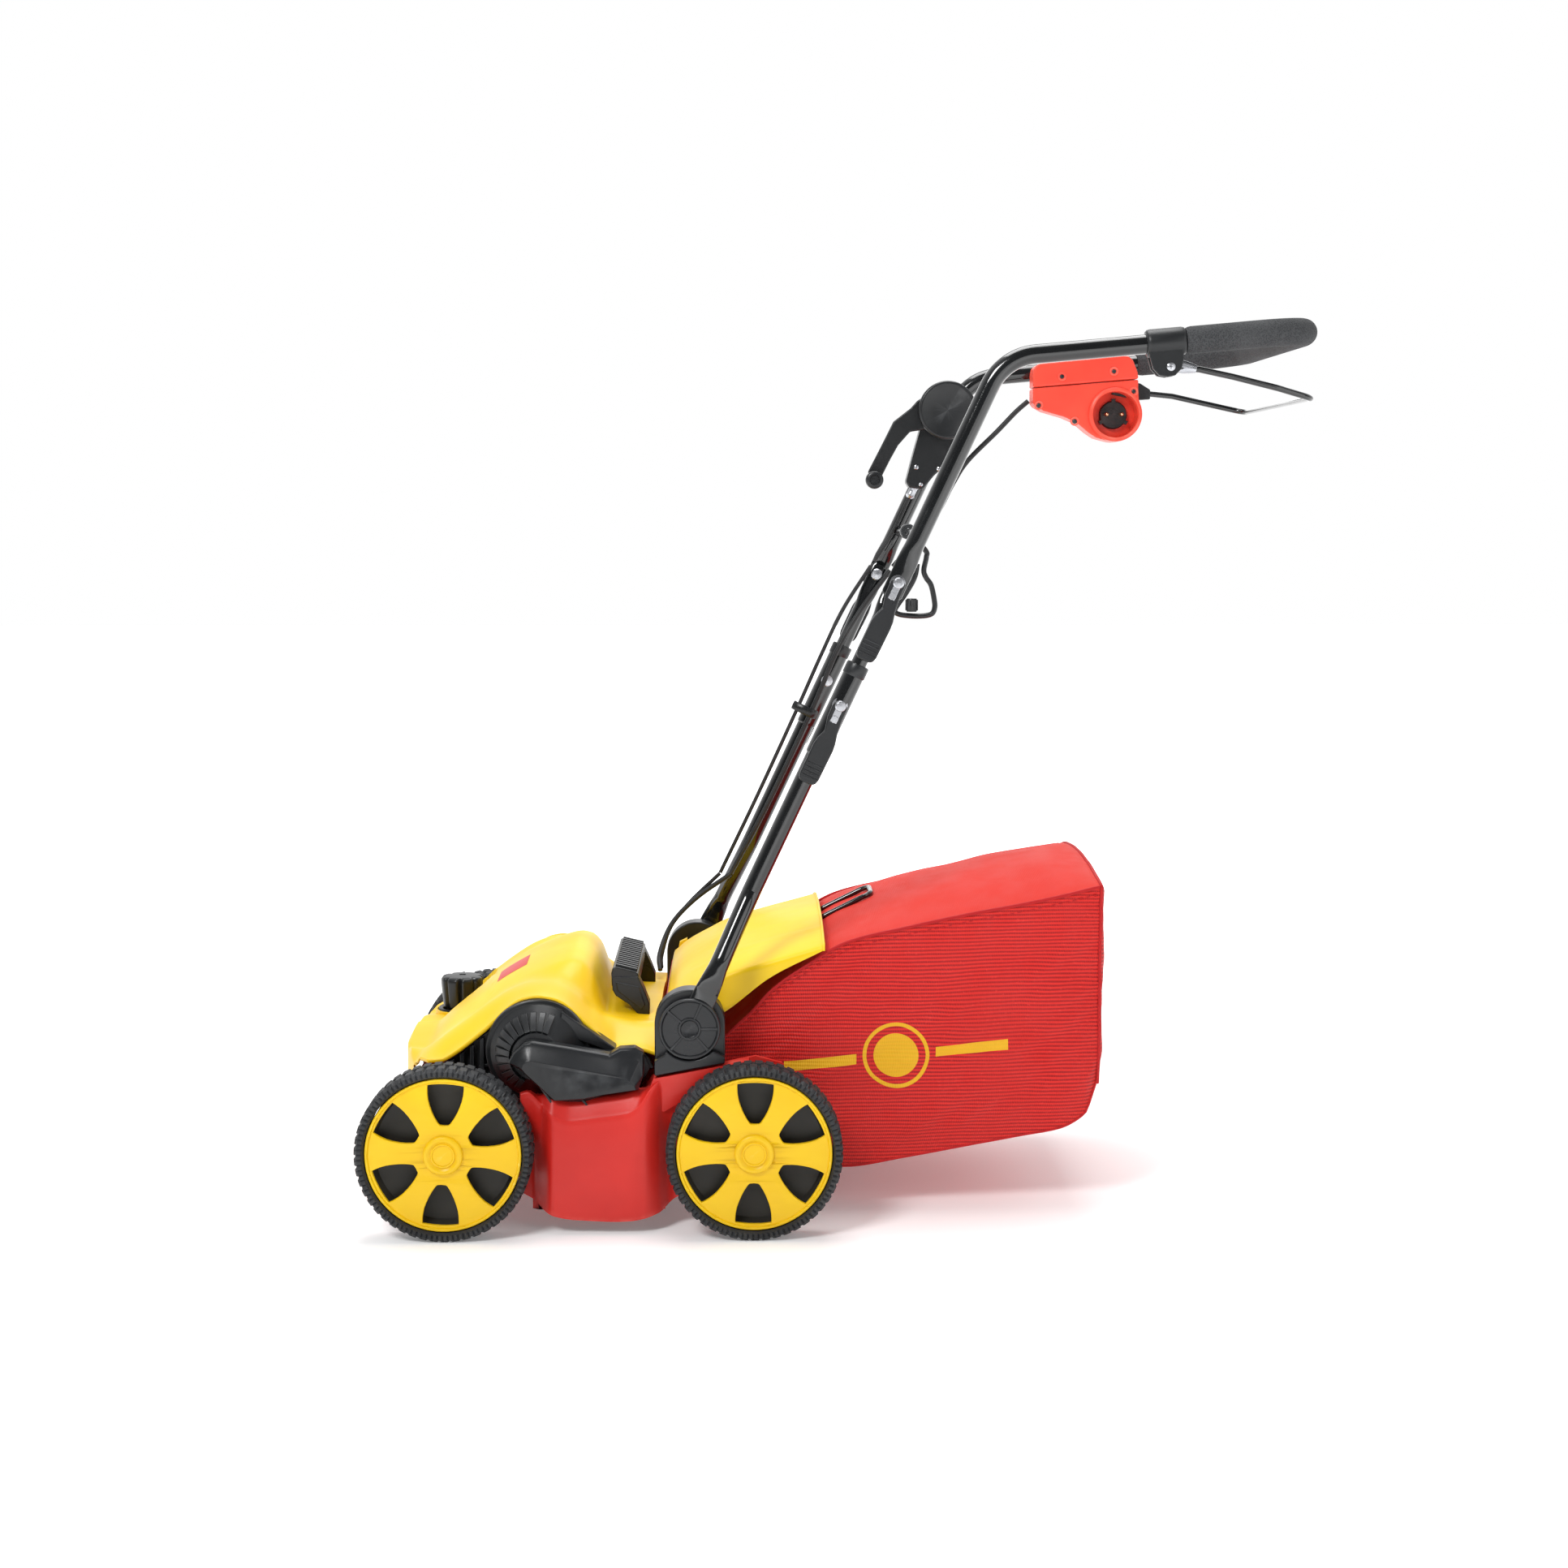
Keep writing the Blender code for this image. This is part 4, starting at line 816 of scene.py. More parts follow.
def drive_side():
    rim = [(-455, 188), (-408, 222), (-381, 245), (-364, 255), (-348, 258), (-332, 255), (-317, 249),
           (-299, 234), (-272, 210), (-256, 199), (-227, 197), (-216, 179)]
    arch = [(-458, 140)] + rim + [(-230, 150), (-243, 138)]
    place("cheek_left", plate(arch, -190, -184), BLACK, "root", bevel=1.0)
    # The black edge tube of the cheek also shows as a dark line just under the hood's lip, standing in for
    # the shadow there.
    border = curve([(x, -192, z - 3.4) for x, z in rim], 5)
    place("cheek_edge_shadow_line", tube(border, 2.2, 10), BLACK, "root", sharp=60)
    drum = [(60, -180), (60.5, -203), (59.6, -206.6), (57.4, -208), (54.5, -208), (53.4, -209.4),
            (30, -232.5), (27.2, -236), (12, -238), (12, -232), (25, -231), (50, -205), (56, -200),
            (56, -180)]
    place("motor_drum", lathe(MOTOR, drum, 120), BLACK, "root", "motor_cover", sharp=40)
    tooth = [(30, -237.9), (44, -225.9), (48, -218.9), (48, -212.5), (30, -229.9)]
    teeth = total(fin(MOTOR, tooth, math.radians(68 + 13.2 * k), 3.4) for k in range(14))
    place("motor_teeth", teeth, BLACK, "root", bevel=0.5)
    slats = Shape()
    for k in range(9):
        x = -448 + 11.5 * k
        z = between(rim, x) - 7
        slats += plate([(x, 141), (x + 4.5, 141), (x + 4.5, z + 2), (x, z)], -198, -188)
    for k in range(4):
        z = 150 + 14 * k
        start = -452 + 18 * k
        slats += plate([(start, z), (-366, z), (-366, z + 3.5), (start + 5, z + 3.5)], -195.5, -188)
    place("vent_slats", slats, BLACK, "root", bevel=0.7)
    wedge = [(-318, 247), (-306, 238), (-256, 203), (-258, 198), (-300, 213), (-310, 206), (-322, 228)]
    place("drive_gusset", plate(wedge, -214, -188), BLACK, "root", bevel=2.0, segments=3)
    rear = [(-310, 206), (-262, 202), (-240, 198), (-232, 170), (-246, 158), (-300, 150), (-322, 170)]
    place("drive_recess", plate(rear, -236, -188), BLACK, "root", bevel=2.5, segments=3)
    pairs = [(-376, 196, -360, 192), (-370, 207, -358, 197), (-357, 219, -354, 200.5), (-348, 221, -349, 201),
             (-309, 214, -309, 193.5), (-262, 205, -262, 184.5), (-250, 212, -255, 183),
             (-233, 213, -245, 180), (-223, 207, -238, 176.5), (-223, 182, -233, 171), (-229, 164, -231, 167),
             (-268, 158, -268, 161.5), (-291, 150, -291, 157), (-326, 151, -323, 155),
             (-361, 187, -356, 186.5)]

    def level(t, y):
        return [(a + (c - a) * t, y, b + (d - b) * t) for a, b, c, d in pairs]

    shell = loft([level(t, y) for t, y in ((0, -236), (0, -250), (0.1, -252.5), (0.34, -254), (0.94, -263),
                                           (1.0, -263.9))])
    place("belt_housing", shell, BLACK, "root", "belt_cover", bevel=1.1, segments=3)
    refined("vent_panel", BLACK, 0.4, move=tuck_vent)
    repaint("motor_body", CAST)
    repaint("motor_shaft", STEEL)
    repaint("drive_belt", CABLE)
    other = Shape()
    for k in range(13):
        x = -436 + 16 * k
        z = between(rim, x)
        other += plate([(x, 146), (x + 6, 146), (x + 6, z - 12), (x, z - 14)], 188, 193)
    place("vent_ribs_right", other, BLACK, "root", bevel=0.7)


def knob():
    """A fluted depth knob on its round socket."""
    lobes = 8
    rings = []
    for z, scale in ((190, 0.84), (191, 0.88), (206, 0.93), (221, 0.98), (225, 0.98), (227.4, 0.94),
                     (228.6, 0.88)):
        ring = []
        for k in range(lobes * 16):
            a = TAU * k / (lobes * 16)
            dent = max(0.0, math.cos(a * lobes)) ** 3
            ring.append((*polar(KNOB, 27 * scale - 4.6 * dent, a), z))
        rings.append(ring)
    rings.append([(KNOB[0] + 0.6 * (x - KNOB[0]), KNOB[1] + 0.6 * (y - KNOB[1]), 228.9) for x, y,
                  z in rings[-1]])
    mark = [(-472, 96), (-464, 96), (-467, 112), (-469, 112)]
    pointer = loft([[(x, y, z) for x, y in mark] for z in (228.4, 229.6)])
    place("knob_grip", loft(rings) + pointer, BLACK, "depth_knob", "depth_knob", sharp=42)
    body = [(30, 172), (30.2, 186), (29.4, 189), (27, 189), (25, 188), (24.4, 186), (24, 178), (7, 178),
            (7, 172)]
    place("knob_well", spun(KNOB, body, 72), BLACK, "root", "knob_socket", sharp=50)


def carry_handle():
    """A hollow-looking moulded bar: ribs across its top, tapering cheeks at both ends."""
    profile = [(-267, 252), (-267.5, 268), (-266, 274), (-262, 276), (-239, 270), (-235, 267), (-234, 256),
               (-237, 252)]
    place("carry_bar", plate(profile, -99, 99), BLACK, "root", "carry_handle", bevel=1.4, segments=3)
    rib = [(-264, 272), (-237, 266), (-236.5, 272.2), (-262, 278.4)]
    place("carry_ribs", total(plate(rib, y - 2.4, y + 2.4) for y in range(-90, 91, 12)), BLACK, "root",
          bevel=0.7)
    leg = [(-267, 264), (-266, 248), (-262, 241), (-246, 230), (-229, 211), (-222, 212), (-222, 232),
           (-229, 250), (-235, 264)]
    cheek = [(-262, 258), (-260, 247), (-231, 224), (-227, 230), (-234, 252)]
    legs = total(plate(leg, s * 78, s * 101) + plate(cheek, s * 100, s * 102.5) for s in SIDES.values())
    place("carry_legs", legs, BLACK, "root", bevel=1.6, segments=3)


def pivots():
    for word, side in SIDES.items():
        arch = [(-211, 179), (-211, 236)] + arc((PIVOT[0], 236), 40, 175.5, -4.5, 39)
        arch += [(-131, 236), (-131, 193.5)]
        foot = [(-211, 179), (-211, 196), (-200, 203)] + arc(PIVOT, 36.5, 225, 9, 11)
        foot += [(-142, 206), (-131, 200), (-131, 193.5)]
        place("pivot_shell_" + word, plate(arch, side * 208, side * 237), BLACK, "root", "pivot_housing_"
              + word, bevel=2.2, segments=4)
        place("pivot_foot_" + word, plate(foot, side * 236, side * 249), BLACK, "root", bevel=1.6, segments=3)
        disc = [(AXIS, 212), (5, 212), (5, 240), (33.6, 240), (34.8, 243), (34.8, 248.6), (34.0, 249.6),
                (32.2, 249.6), (31.2, 248.4), (30.4, 247.2), (13.4, 247.6), (12.6, 249.2), (10.6, 249.4),
                (9.8, 248.2), (8.8, 247.6), (AXIS, 247.9)]
        place("pivot_disc_" + word, lathe(PIVOT, disc, 96, side), BLACK, "handle_lower", "pivot_cap_" + word,
              sharp=50)
        bar = [(12, -1.1), (32, -1.6), (32, 1.6), (12, 1.1)]
        ribs = total(spoke(PIVOT, bar, math.radians(degrees), side * 246.5, side * 248.9)
                     for degrees in (0, 65, 140, 228, 310))
        place("pivot_ribs_" + word, ribs, BLACK, "handle_lower", bevel=0.5)


def underside():
    for node in ("rotor_shaft", "rotor_pulley", "front_axle", "rear_axle", "flap_pin", "rotor_bearing_left",
                 "rotor_bearing_right"):
        repaint(node, STEEL)
    refined("rotor_blades", BLADE, 0.3, 1)


# ---------------------------------------------------------------- catch bag

# X, low edge, top edge, top middle, how far the side stands out, how far the bottom sags
BAG = [(-136, 128, 205, 206, -3, 0), (-100, 120, 238, 242, -1, 1), (-78, 108, 262, 268, 1, 2),
       (-40, 60, 290, 300, 4, 3), (8, 50, 318, 333, 6, 3), (80, 61, 336, 360, 8, 3),
       (150, 74, 351, 378, 8, 4), (215, 86, 363, 392, 7, 4), (262, 95, 373, 400, 5, 3),
       (290, 112, 380, 401, 2, 2), (303, 150, 383, 398, -1, 0)]
BAG_HALF = 178.0


def bag_ring(x, count=176):
    """One cross ring of the bag: sides that billow, a crowned top with soft edges, and a sagging floor."""
    low, edge, crown, out, sag = (between(BAG, x, k) for k in (1, 2, 3, 4, 5))
    ring = []
    for k in range(count):
        t = 4.0 * k / count
        side, s = int(t), t - int(t)
        if side == 0:
            u = -1 + 2 * s
            y, z = u * BAG_HALF, edge + (crown - edge) * (1 - abs(u) ** 2.2)
        elif side == 1:
            z = edge - (edge - low) * s
            y = BAG_HALF + out * math.sin(math.pi * s) - 9 * smooth((s - 0.8) / 0.2)
        elif side == 2:
            u = 1 - 2 * s
            y, z = u * (BAG_HALF - 9), low - sag * (1 - u * u)
        else:
            z = low + (edge - low) * s
            y = -(BAG_HALF + out * math.sin(math.pi * s) - 9 * smooth((0.2 - s) / 0.2))
        ring.append((x, y, z))
    return ring


def crease(x, y, z):
    """How far the side cloth moves outwards: long diagonal folds and loose dents."""
    side = 1 if y > 0 else -1
    wave = noise.noise(Vector((x * 0.011 + 3 * side, z * 0.012, side * 2.0)))
    folds = noise.noise(Vector(((x + 0.8 * z) * 0.010, (x - 1.6 * z) * 0.034, 5.0 + side)))
    return 6.5 * wave + 4.5 * folds


def bag():
    xs = [-136 + 439 * i / 110 for i in range(111)]
    rings = []
    for x in xs:
        ring = []
        grip = smooth((x + 136) / 60)
        for px, py, pz in bag_ring(x):
            low, edge = between(BAG, x, 1), between(BAG, x, 2)
            inside = smooth((edge - pz) / 36) * smooth((pz - low) / 36)
            push = crease(px, py, pz) * inside * grip
            sign = 1 if py > 0 else -1
            dz = 2.2 * noise.noise(Vector((px * 0.018, py * 0.014, 9.0))) * grip if pz >= edge - 1 else 0.0
            ring.append((px, py + sign * push if abs(py) > 150 else py, pz + dz))
        rings.append(ring)
    back = []
    last = rings[-1]
    middle = 262
    for k, (shrink, dx) in enumerate(((0.985, 4.5), (0.94, 7.0), (0.8, 8.2), (0.55, 9.5), (0.25, 10.5))):
        ring = []
        for _, y, z in last:
            level = middle + (z - middle) * shrink
            wave = 2.5 * noise.noise(Vector((y * 0.02, z * 0.02, 3.0))) * (k > 0)
            ring.append((303 + dx + wave - 26 * smooth((190 - level) / 110), y * shrink, level))
        back.append(ring)
    shell = loft(rings + back, ends=False)
    count = len(last)
    tip = len(shell.verts)
    shell.verts.append((313, 0, 262))
    base = (len(rings) + len(back) - 1) * count
    shell.faces += [(base + i, base + (i + 1) % count, tip) for i in range(count)]
    item = place("bag_cloth", shell, [BAG_SIDE, BAG_TOP], "bag", "bag_fabric", thick=1.1, sharp=60)
    for face in item.data.polygons:
        centre = face.center / MM
        if centre.x < 306 and centre.z > between(BAG, centre.x, 2) - 0.5 and abs(centre.y) < BAG_HALF + 1:
            face.material_index = 1
    for word, side in SIDES.items():
        seam = [(x, side * (BAG_HALF + 0.8), between(BAG, x, 2) + 0.4) for x in xs]
        place("bag_piping_" + word, tube(seam, 1.9, 10), BAG_TRIM, "bag", sharp=60)
        foot = [(x, side * (BAG_HALF - 9.5), between(BAG, x, 1) + 1.2) for x in xs]
        place("bag_hem_" + word, tube(foot, 1.6, 8), BAG_TRIM, "bag", sharp=60)
        hem = [(x, side * (BAG_HALF + 1.0), between(BAG, x, 2) - 8.0) for x in xs[8:]]
        place("bag_stitch_" + word, dashes(hem), BAG_TRIM, "bag", sharp=60)
    rear = [Vector(p) + Vector((1.5, 0, 0)) for p in last]
    place("bag_rear_piping", tube(rear, 2.0, 8, closed=True), BAG_TRIM, "bag", sharp=60)
    mouth = bent([(-139, 0, 134), (-139, -174, 134), (-139, -174, 202), (-139, 0, 202)], 14, 8)[1:-1]
    loop = mouth + [Vector((p.x, -p.y, p.z)) for p in reversed(mouth)]
    grip = bent([(-139, -28, 198), (-139, -28, 226), (-24, -28, 315), (46, -28, 343), (46, 28, 343),
                 (-24, 28, 315), (-139, 28, 226), (-139, 28, 198)], 11, 8)
    lift = [(p.x, p.y, p.z + 9 * smooth((p.x + 60) / 90)) for p in grip]
    place("bag_wire", tube(loop, 3.4, 14, closed=True) + tube(lift, 3.1, 14), GLOSS, "bag", "bag_frame",
          sharp=60)
    hem = [(p.x - 1.0, p.y * 1.012, 168 + (p.z - 168) * 1.06) for p in loop]
    place("bag_mouth_binding", tube(hem, [(3.8, 5.0)] * len(hem), 10, closed=True), BAG_TRIM, "bag", sharp=60)


def dashes(line):
    """Short raised stitches along a line."""
    return total(tube(ends, 0.7, 6) for ends in zip(line[::2], line[1::2]))


# ---------------------------------------------------------------- handle

def lower_handle():
    for word, side in SIDES.items():
        stops = [(-16, 242, 3.6, 13), (-8, 242, 3.8, 14.6), (40, 242, 3.8, 14.4), (50, 242.6, 4.8, 13.8),
                 (62, 242.6, 7.2, 12.8), (76, 239, 10.2, 11.2), (88, 235.5, 11, 11), (120, 221, 11, 11),
                 (150, 208.5, 11, 11), (165, 204.6, 11, 11), (180, HANDLE_Y, 11, 11), (345, HANDLE_Y, 11, 11)]
        path = curve([along_handle(d, side * y) for d, y, _, _ in stops], 5)
        sizes = []
        for i in range(len(path)):
            a = min(i // 5, len(stops) - 2)
            t = i / 5 - a
            sizes.append(tuple(stops[a][k] + (stops[a + 1][k] - stops[a][k]) * t for k in (2, 3)))
        sleeve = [(338, 11.4), (340, 12.4), (342, 12.5), (443, 12.5), (445, 12.2), (446, 11.6)]
        place("lower_arm_" + word, tube(path, sizes, 28) + ferrule(sleeve, side), GLOSS, "handle_lower",
              "lower_tube_" + word, sharp=50)
        cap = [(438, 12.9), (439, 13.3), (450, 13.3), (452, 12.6), (452.5, 10.4)]
        place("sleeve_cap_" + word, ferrule(cap, side), BLACK, "handle_lower", sharp=40)
        hardware("lower", word, side, LOWER_BOLT_AT, "handle_lower")


def ferrule(stops, side):
    """A sleeve round the handle's line, of (distance, radius) stops."""
    return tube([along_handle(d, side * HANDLE_Y) for d, _ in stops], [r for _, r in stops], 32)


def hardware(row, word, side, distance, body):
    """A bolt's round head inside the handle, and its washer and stub outside."""
    eye = flat2(along_handle(distance))
    head = [(AXIS, 186.5), (6.2, 187), (7.4, 188.4), (7.4, 190.4), (AXIS, 190.6)]
    washer = [(AXIS, 212), (8.8, 212), (8.8, 213.6), (5.2, 214.2), (4.4, 217.4), (AXIS, 217.6)]
    place(f"bolt_{row}_{word}", lathe(eye, head, 32, side) + lathe(eye, washer, 32, side), STEEL, body,
          sharp=40)


def clamp_levers():
    """Four quick-release levers: a black paddle on a zinc cam, link and nut."""
    arm = [(-3, -6.5), (-4, 0), (-3, 6.5), (0, 8.5), (16, 8.6), (30, 10.4), (42, 13.2), (50, 14.0),
           (86, 13.4), (92, 11.8), (94.5, 8), (94.8, -5), (92, -8.4), (86, -9.6), (50, -9.6), (42, -8.2),
           (32, -4.6), (16, -8.2), (0, -8.6)]
    link = [(-3, -4), (-3, 4), (20, 4), (20, -4)]
    pin = [(AXIS, 220.6), (6.2, 220.6), (6.2, 231.4), (5.0, 232.4), (AXIS, 232.6)]
    for row, bolt in (("lower", LOWER_BOLT_AT), ("upper", UPPER_BOLT_AT)):

        def outline(points):
            return [flat2(along_handle(bolt - d, 0, off)) for d, off in points]

        for word, side in SIDES.items():
            tag = f"{row}_{word}"
            body = "clamp_lever_" + tag
            place("paddle_" + tag, plate(outline(arm), side * 222.4, side * 229.6), BLACK, body, body,
                  bevel=1.8, segments=4)
            ribs = total(plate(outline([(d, -8.2), (d, 12.2), (d + 1.5, 12.2), (d + 1.5, -8.2)]),
                               side * 229.0, side * 230.8) for d in (71, 76, 81, 86))
            place("paddle_ribs_" + tag, ribs, BLACK, body, bevel=0.5)
            nut = arc(flat2(along_handle(bolt - 16)), 4.6, 0, 60, 6)
            steel = lathe(flat2(along_handle(bolt)), pin, 32, side)
            steel += plate(outline(link), side * 228.6, side * 231.0) + plate(nut, side * 229, side * 232.6)
            place("clamp_cam_" + tag, steel, STEEL, body, bevel=0.4)


def middle_handle():
    for word, side in SIDES.items():
        stops = [(395, HANDLE_Y, 9, 9), (505, HANDLE_Y, 9, 9), (512, HANDLE_Y - 1, 8.4, 9.2),
                 (522, HANDLE_Y - 3.6, 5.4, 10.4), (530, HANDLE_Y - 5, 3.6, 11), (564, HANDLE_Y - 5, 3.6, 11),
                 (567.5, HANDLE_Y - 5, 3.2, 8.8)]
        path = [along_handle(d, side * y) for d, y, _, _ in stops]
        place("middle_arm_" + word, tube(path, [(w, t) for _, _, w, t in stops], 28), GLOSS, "handle_middle",
              "middle_tube_" + word, sharp=50)
        hardware("upper", word, side, UPPER_BOLT_AT, "handle_middle")


def grip_line():
    bend = along_handle(BEND_AT)
    end = (HANDLE_END, bend[2] + (HANDLE_END - bend[0]) * GRIP_RISE)
    y = HANDLE_Y
    start = along_handle(UPPER_BOLT_AT + 52, -y)
    return bent([start, (bend[0], -y, bend[2]), (end[0], -y, end[1]), (end[0], y, end[1]),
                 (bend[0], y, bend[2]), (start[0], y, start[2])], 62, 14)


def on_grip(x):
    return along_handle(BEND_AT)[2] + (x - along_handle(BEND_AT)[0]) * GRIP_RISE


def upper_handle():
    y = HANDLE_Y
    ends = [(-18, y + 5, 3.3, 9.5), (-14, y + 5, 3.6, 12), (14, y + 5, 3.6, 12), (24, y + 3.6, 5.2, 12.4),
            (36, y + 1, 9, 11.6), (44, y, 11, 11)]
    core = grip_line()
    head = [along_handle(UPPER_BOLT_AT + d, -w) for d, w, _, _ in ends]
    tail = [along_handle(UPPER_BOLT_AT + d, w) for d, w, _, _ in reversed(ends)]
    radii = [(a, b) for _, _, a, b in ends]
    shape = tube(head + core + tail, radii + [(11, 11)] * len(core) + radii[::-1], 28)
    rail = lathe(flat2(along_handle(RAIL_AT)), [(AXIS, -y), (3.5, -y), (3.5, y), (AXIS, y)], 24)
    place("upper_arms", shape + rail, GLOSS, "handle_upper", "upper_handle", sharp=50)
    path = [p for p in core if p.x > 402]
    ends = [[Vector((x + d, side * HANDLE_Y, on_grip(x + d))) for d in (0, 2.5, 6)]
            for x, side in ((385, -1), (399, 1))]
    line = ends[0] + path + ends[1][::-1]
    sizes = [13.6, 14.8, 15.4] + [15.4] * len(path) + [15.4, 14.8, 13.6]
    grip = place("foam_sleeve", tube(line, sizes, 32), FOAM, "handle_upper", "foam_grip", sharp=60)


def bail():
    ends = [(BAIL_PIN[0] + 2, -HANDLE_Y - 2, BAIL_PIN[1]), (400, 172, 966)]
    near = [(401, -202, 972), (440, -199, 964), (490, -196, 952), (534, -182, 941)]
    far = [(534, 168, 941), (490, 172, 951), (440, 172, 962)]
    path = bent([ends[0]] + near + far + [ends[1]], 18, 8)
    place("bail_wire", tube(path, 3.6, 16), GLOSS, "bail", "bail", sharp=60)
    crimp = [(375, -204.5, 975.4), (383, -204, 974.6), (391, -203, 973.4), (397, -202.6, 972.2)]
    metal_parts = tube(crimp, [(3.0, 6.8), (3.4, 7.4), (3.8, 6.0), (4.4, 4.6)], 16)
    metal_parts += lathe(BAIL_PIN, [(AXIS, -216.6), (4.6, -216.4), (5.2, -214.4), (AXIS, -214.2)], 24)
    place("bail_crimp", metal_parts, STEEL, "bail", bevel=0.3)
    block = [(362, 984), (362, 964), (396, 957), (411, 958), (411, 970), (398, 978)]
    place("bail_block", plate(block, 166, 178), BLACK, "bail", bevel=1.2)
    collar = [Vector((x, -HANDLE_Y, on_grip(x))) for x in (340.5, 342, 345, 380, 383, 384.4)]
    place("collar_ring", tube(collar, [13.6, 15.2, 15.9, 15.9, 15.2, 13.6], 36), BLACK, "handle_upper",
          "bail_bracket", sharp=50)
    z = on_grip(361)
    cheek = [(343, z - 6), (380, z - 3), (381.5, 984), (379, 972), (372, 964.5), (363, 963), (354, 964.5),
             (347, 972), (343, 986)]
    cheeks = plate(cheek, -215.4, -209.6) + plate(cheek, -200.6, -195)
    place("collar_cheeks", cheeks, BLACK, "handle_upper", bevel=1.2, segments=3)
    place("collar_screw", screw((366.5, 974), -215.4, -1, 4.4), STEEL, "handle_upper", sharp=40)


def switch_box():
    below = [(259, 971), (259, 952), (263, 948), (273, 942.5), (299, 935), (313, 929), (321, 923),
             (330, 915.5), (340, 909), (352, 905.6), (364, 904.4), (378, 907), (390, 916), (397, 930),
             (398, 944), (394, 958), (393, 972), (393, 982)]
    base = place("switch_body", plate(below, 150, 190), ORANGE, "handle_upper", "switch_box", bevel=2.4,
                 segments=4)
    cutter("cut_socket", lathe(SOCKET, [(AXIS, 140), (29, 140), (27.6, 184), (AXIS, 184)], 64), base)
    cutter("cut_tube", tube([(340, 172, on_grip(340) - 32), (420, 172, on_grip(420) - 32)], 6.5, 16), base)
    cover = [(259, 971.9), (259, 990), (260.5, 997), (266, 1001.6), (372, 1011.4), (380, 1011.4), (386, 1006),
             (392, 991), (393, 982.9)]
    place("switch_lid", plate(cover, 150, 190), ORANGE, "handle_upper", "switch_box_cover", bevel=2.4,
          segments=4)
    lip = [(29.2, 144.8), (31.2, 144.8), (33.8, 147), (34.2, 152), (34.2, 189), (29.6, 189)]
    place("socket_shroud", lathe(SOCKET, lip, 96), ORANGE, "handle_upper", sharp=45)
    well = [(17.9, 172.5), (28.4, 173.5), (29.3, 160), (29.6, 189), (17.9, 189)]
    place("socket_well", lathe(SOCKET, well, 72), ORANGE, "handle_upper", sharp=40)
    face = [(AXIS, 166), (16.4, 166), (17.6, 167.4), (17.6, 186), (AXIS, 186)]
    key = [(16, -2.4), (20.4, -2.4), (20.4, 2.4), (16, 2.4)]
    keys = total(spoke(SOCKET, key, math.radians(degrees), 165, 176) for degrees in (90, 210, 330))
    place("socket_insert", lathe(SOCKET, face, 72) + keys, SOCKET_BLACK, "handle_upper", "plug_inlet",
          sharp=40)
    pin = [(AXIS, 154.5), (1.4, 154.7), (2.3, 156), (2.4, 168), (AXIS, 168)]
    pins = total(lathe((SOCKET[0] + dx, SOCKET[1] + 0.5), pin, 20) for dx in (-9.5, 9.5))
    place("socket_pins", pins, BRASS, "handle_upper", sharp=50)
    spots = ((295.5, 985.5), (361.5, 992), (266.5, 949.5), (312.5, 929.5), (387, 967))
    boss = [(3.6, 151.8), (3.6, 149.6), (5.4, 149.2), (5.8, 150.2), (5.8, 151.8)]
    wells = total(lathe(spot, boss, 28) for spot in spots)
    heads = total(screw(spot, 151.4, -1, 3.2) for spot in spots)
    place("switch_bosses", wells, ORANGE, "handle_upper", sharp=40)
    place("switch_screws", heads, BLACK, "handle_upper", sharp=40)
    stem = [(AXIS, 183), (9.3, 183), (9.3, 185.8), (7.4, 186.4), (7.4, 195.4), (6.4, 196.8), (3.2, 196.9),
            (2.6, 196.2), (AXIS, 196.1)]
    place("button_cap", lathe((300, 955), stem, 40), BLACK, "switch_button", "switch_button", sharp=40)


def lever_box():
    outline = [(118, 932), (116, 917), (107, 884), (99, 853), (103, 846), (121, 843.6), (126, 850),
               (135, 861), (147, 872), (157, 888), (164, 905), (175, 924), (181, 942), (178, 958), (165, 972),
               (150, 977), (134, 971), (122, 958)]
    place("lever_housing", plate(outline, 162, 191), BLACK, "handle_upper", "lever_box", bevel=2.4,
          segments=4)
    face = [(AXIS, 139.8), (31.5, 139.6), (32.4, 139.0), (34.6, 139.0), (36.2, 140.2), (36.8, 142.5),
            (36.8, 147.8), (9, 148.2), (9, 164), (AXIS, 164)]
    place("lever_disc", lathe(DEPTH_PIN, face, 96), BLACK, "handle_upper", sharp=40)
    ends = [(112 - 0.4241 * d, 176, 850 - 0.9056 * d) for d in (1, 3, 5, 14, 16, 19)]
    place("cable_ferrule", tube(ends, [6.4, 6.6, 5.2, 5.2, 6.2, 3.4], 24), STEEL, "handle_upper", sharp=40)
    heads = total(screw((x, z), 161.6, -1, radius) for x, z, radius in ((172, 951, 3.4), (141, 870, 3.2),
                                                                        (112, 872, 3.2), (118, 850, 2.8)))
    place("lever_screws", heads, STEEL, "handle_upper", sharp=40)
    hub = [(9.6, 149.2), (28, 149.2), (30, 150.8), (30, 157.4), (28, 159), (9.6, 159)]
    arm = [(126, 964), (112, 955), (104, 946), (82, 929), (66, 897), (50, 866), (51, 858), (58, 853),
           (66, 857), (78, 881), (88, 899), (103, 916), (122, 919), (140, 915)]
    place("depth_arm", plate(arm, 149.6, 158.4), BLACK, "depth_lever", "depth_lever", bevel=1.8, segments=3)
    place("depth_hub", lathe(DEPTH_PIN, hub, 72), BLACK, "depth_lever", sharp=40)
    ball = [(AXIS, 123.6), (5.6, 123.6), (6.2, 122), (9.8, 122), (11.0, 123.4), (11.2, 136), (10.2, 139),
            (9.4, 149), (AXIS, 152)]
    place("depth_grip", lathe((57, 855), ball, 48), BLACK, "depth_lever", sharp=50)


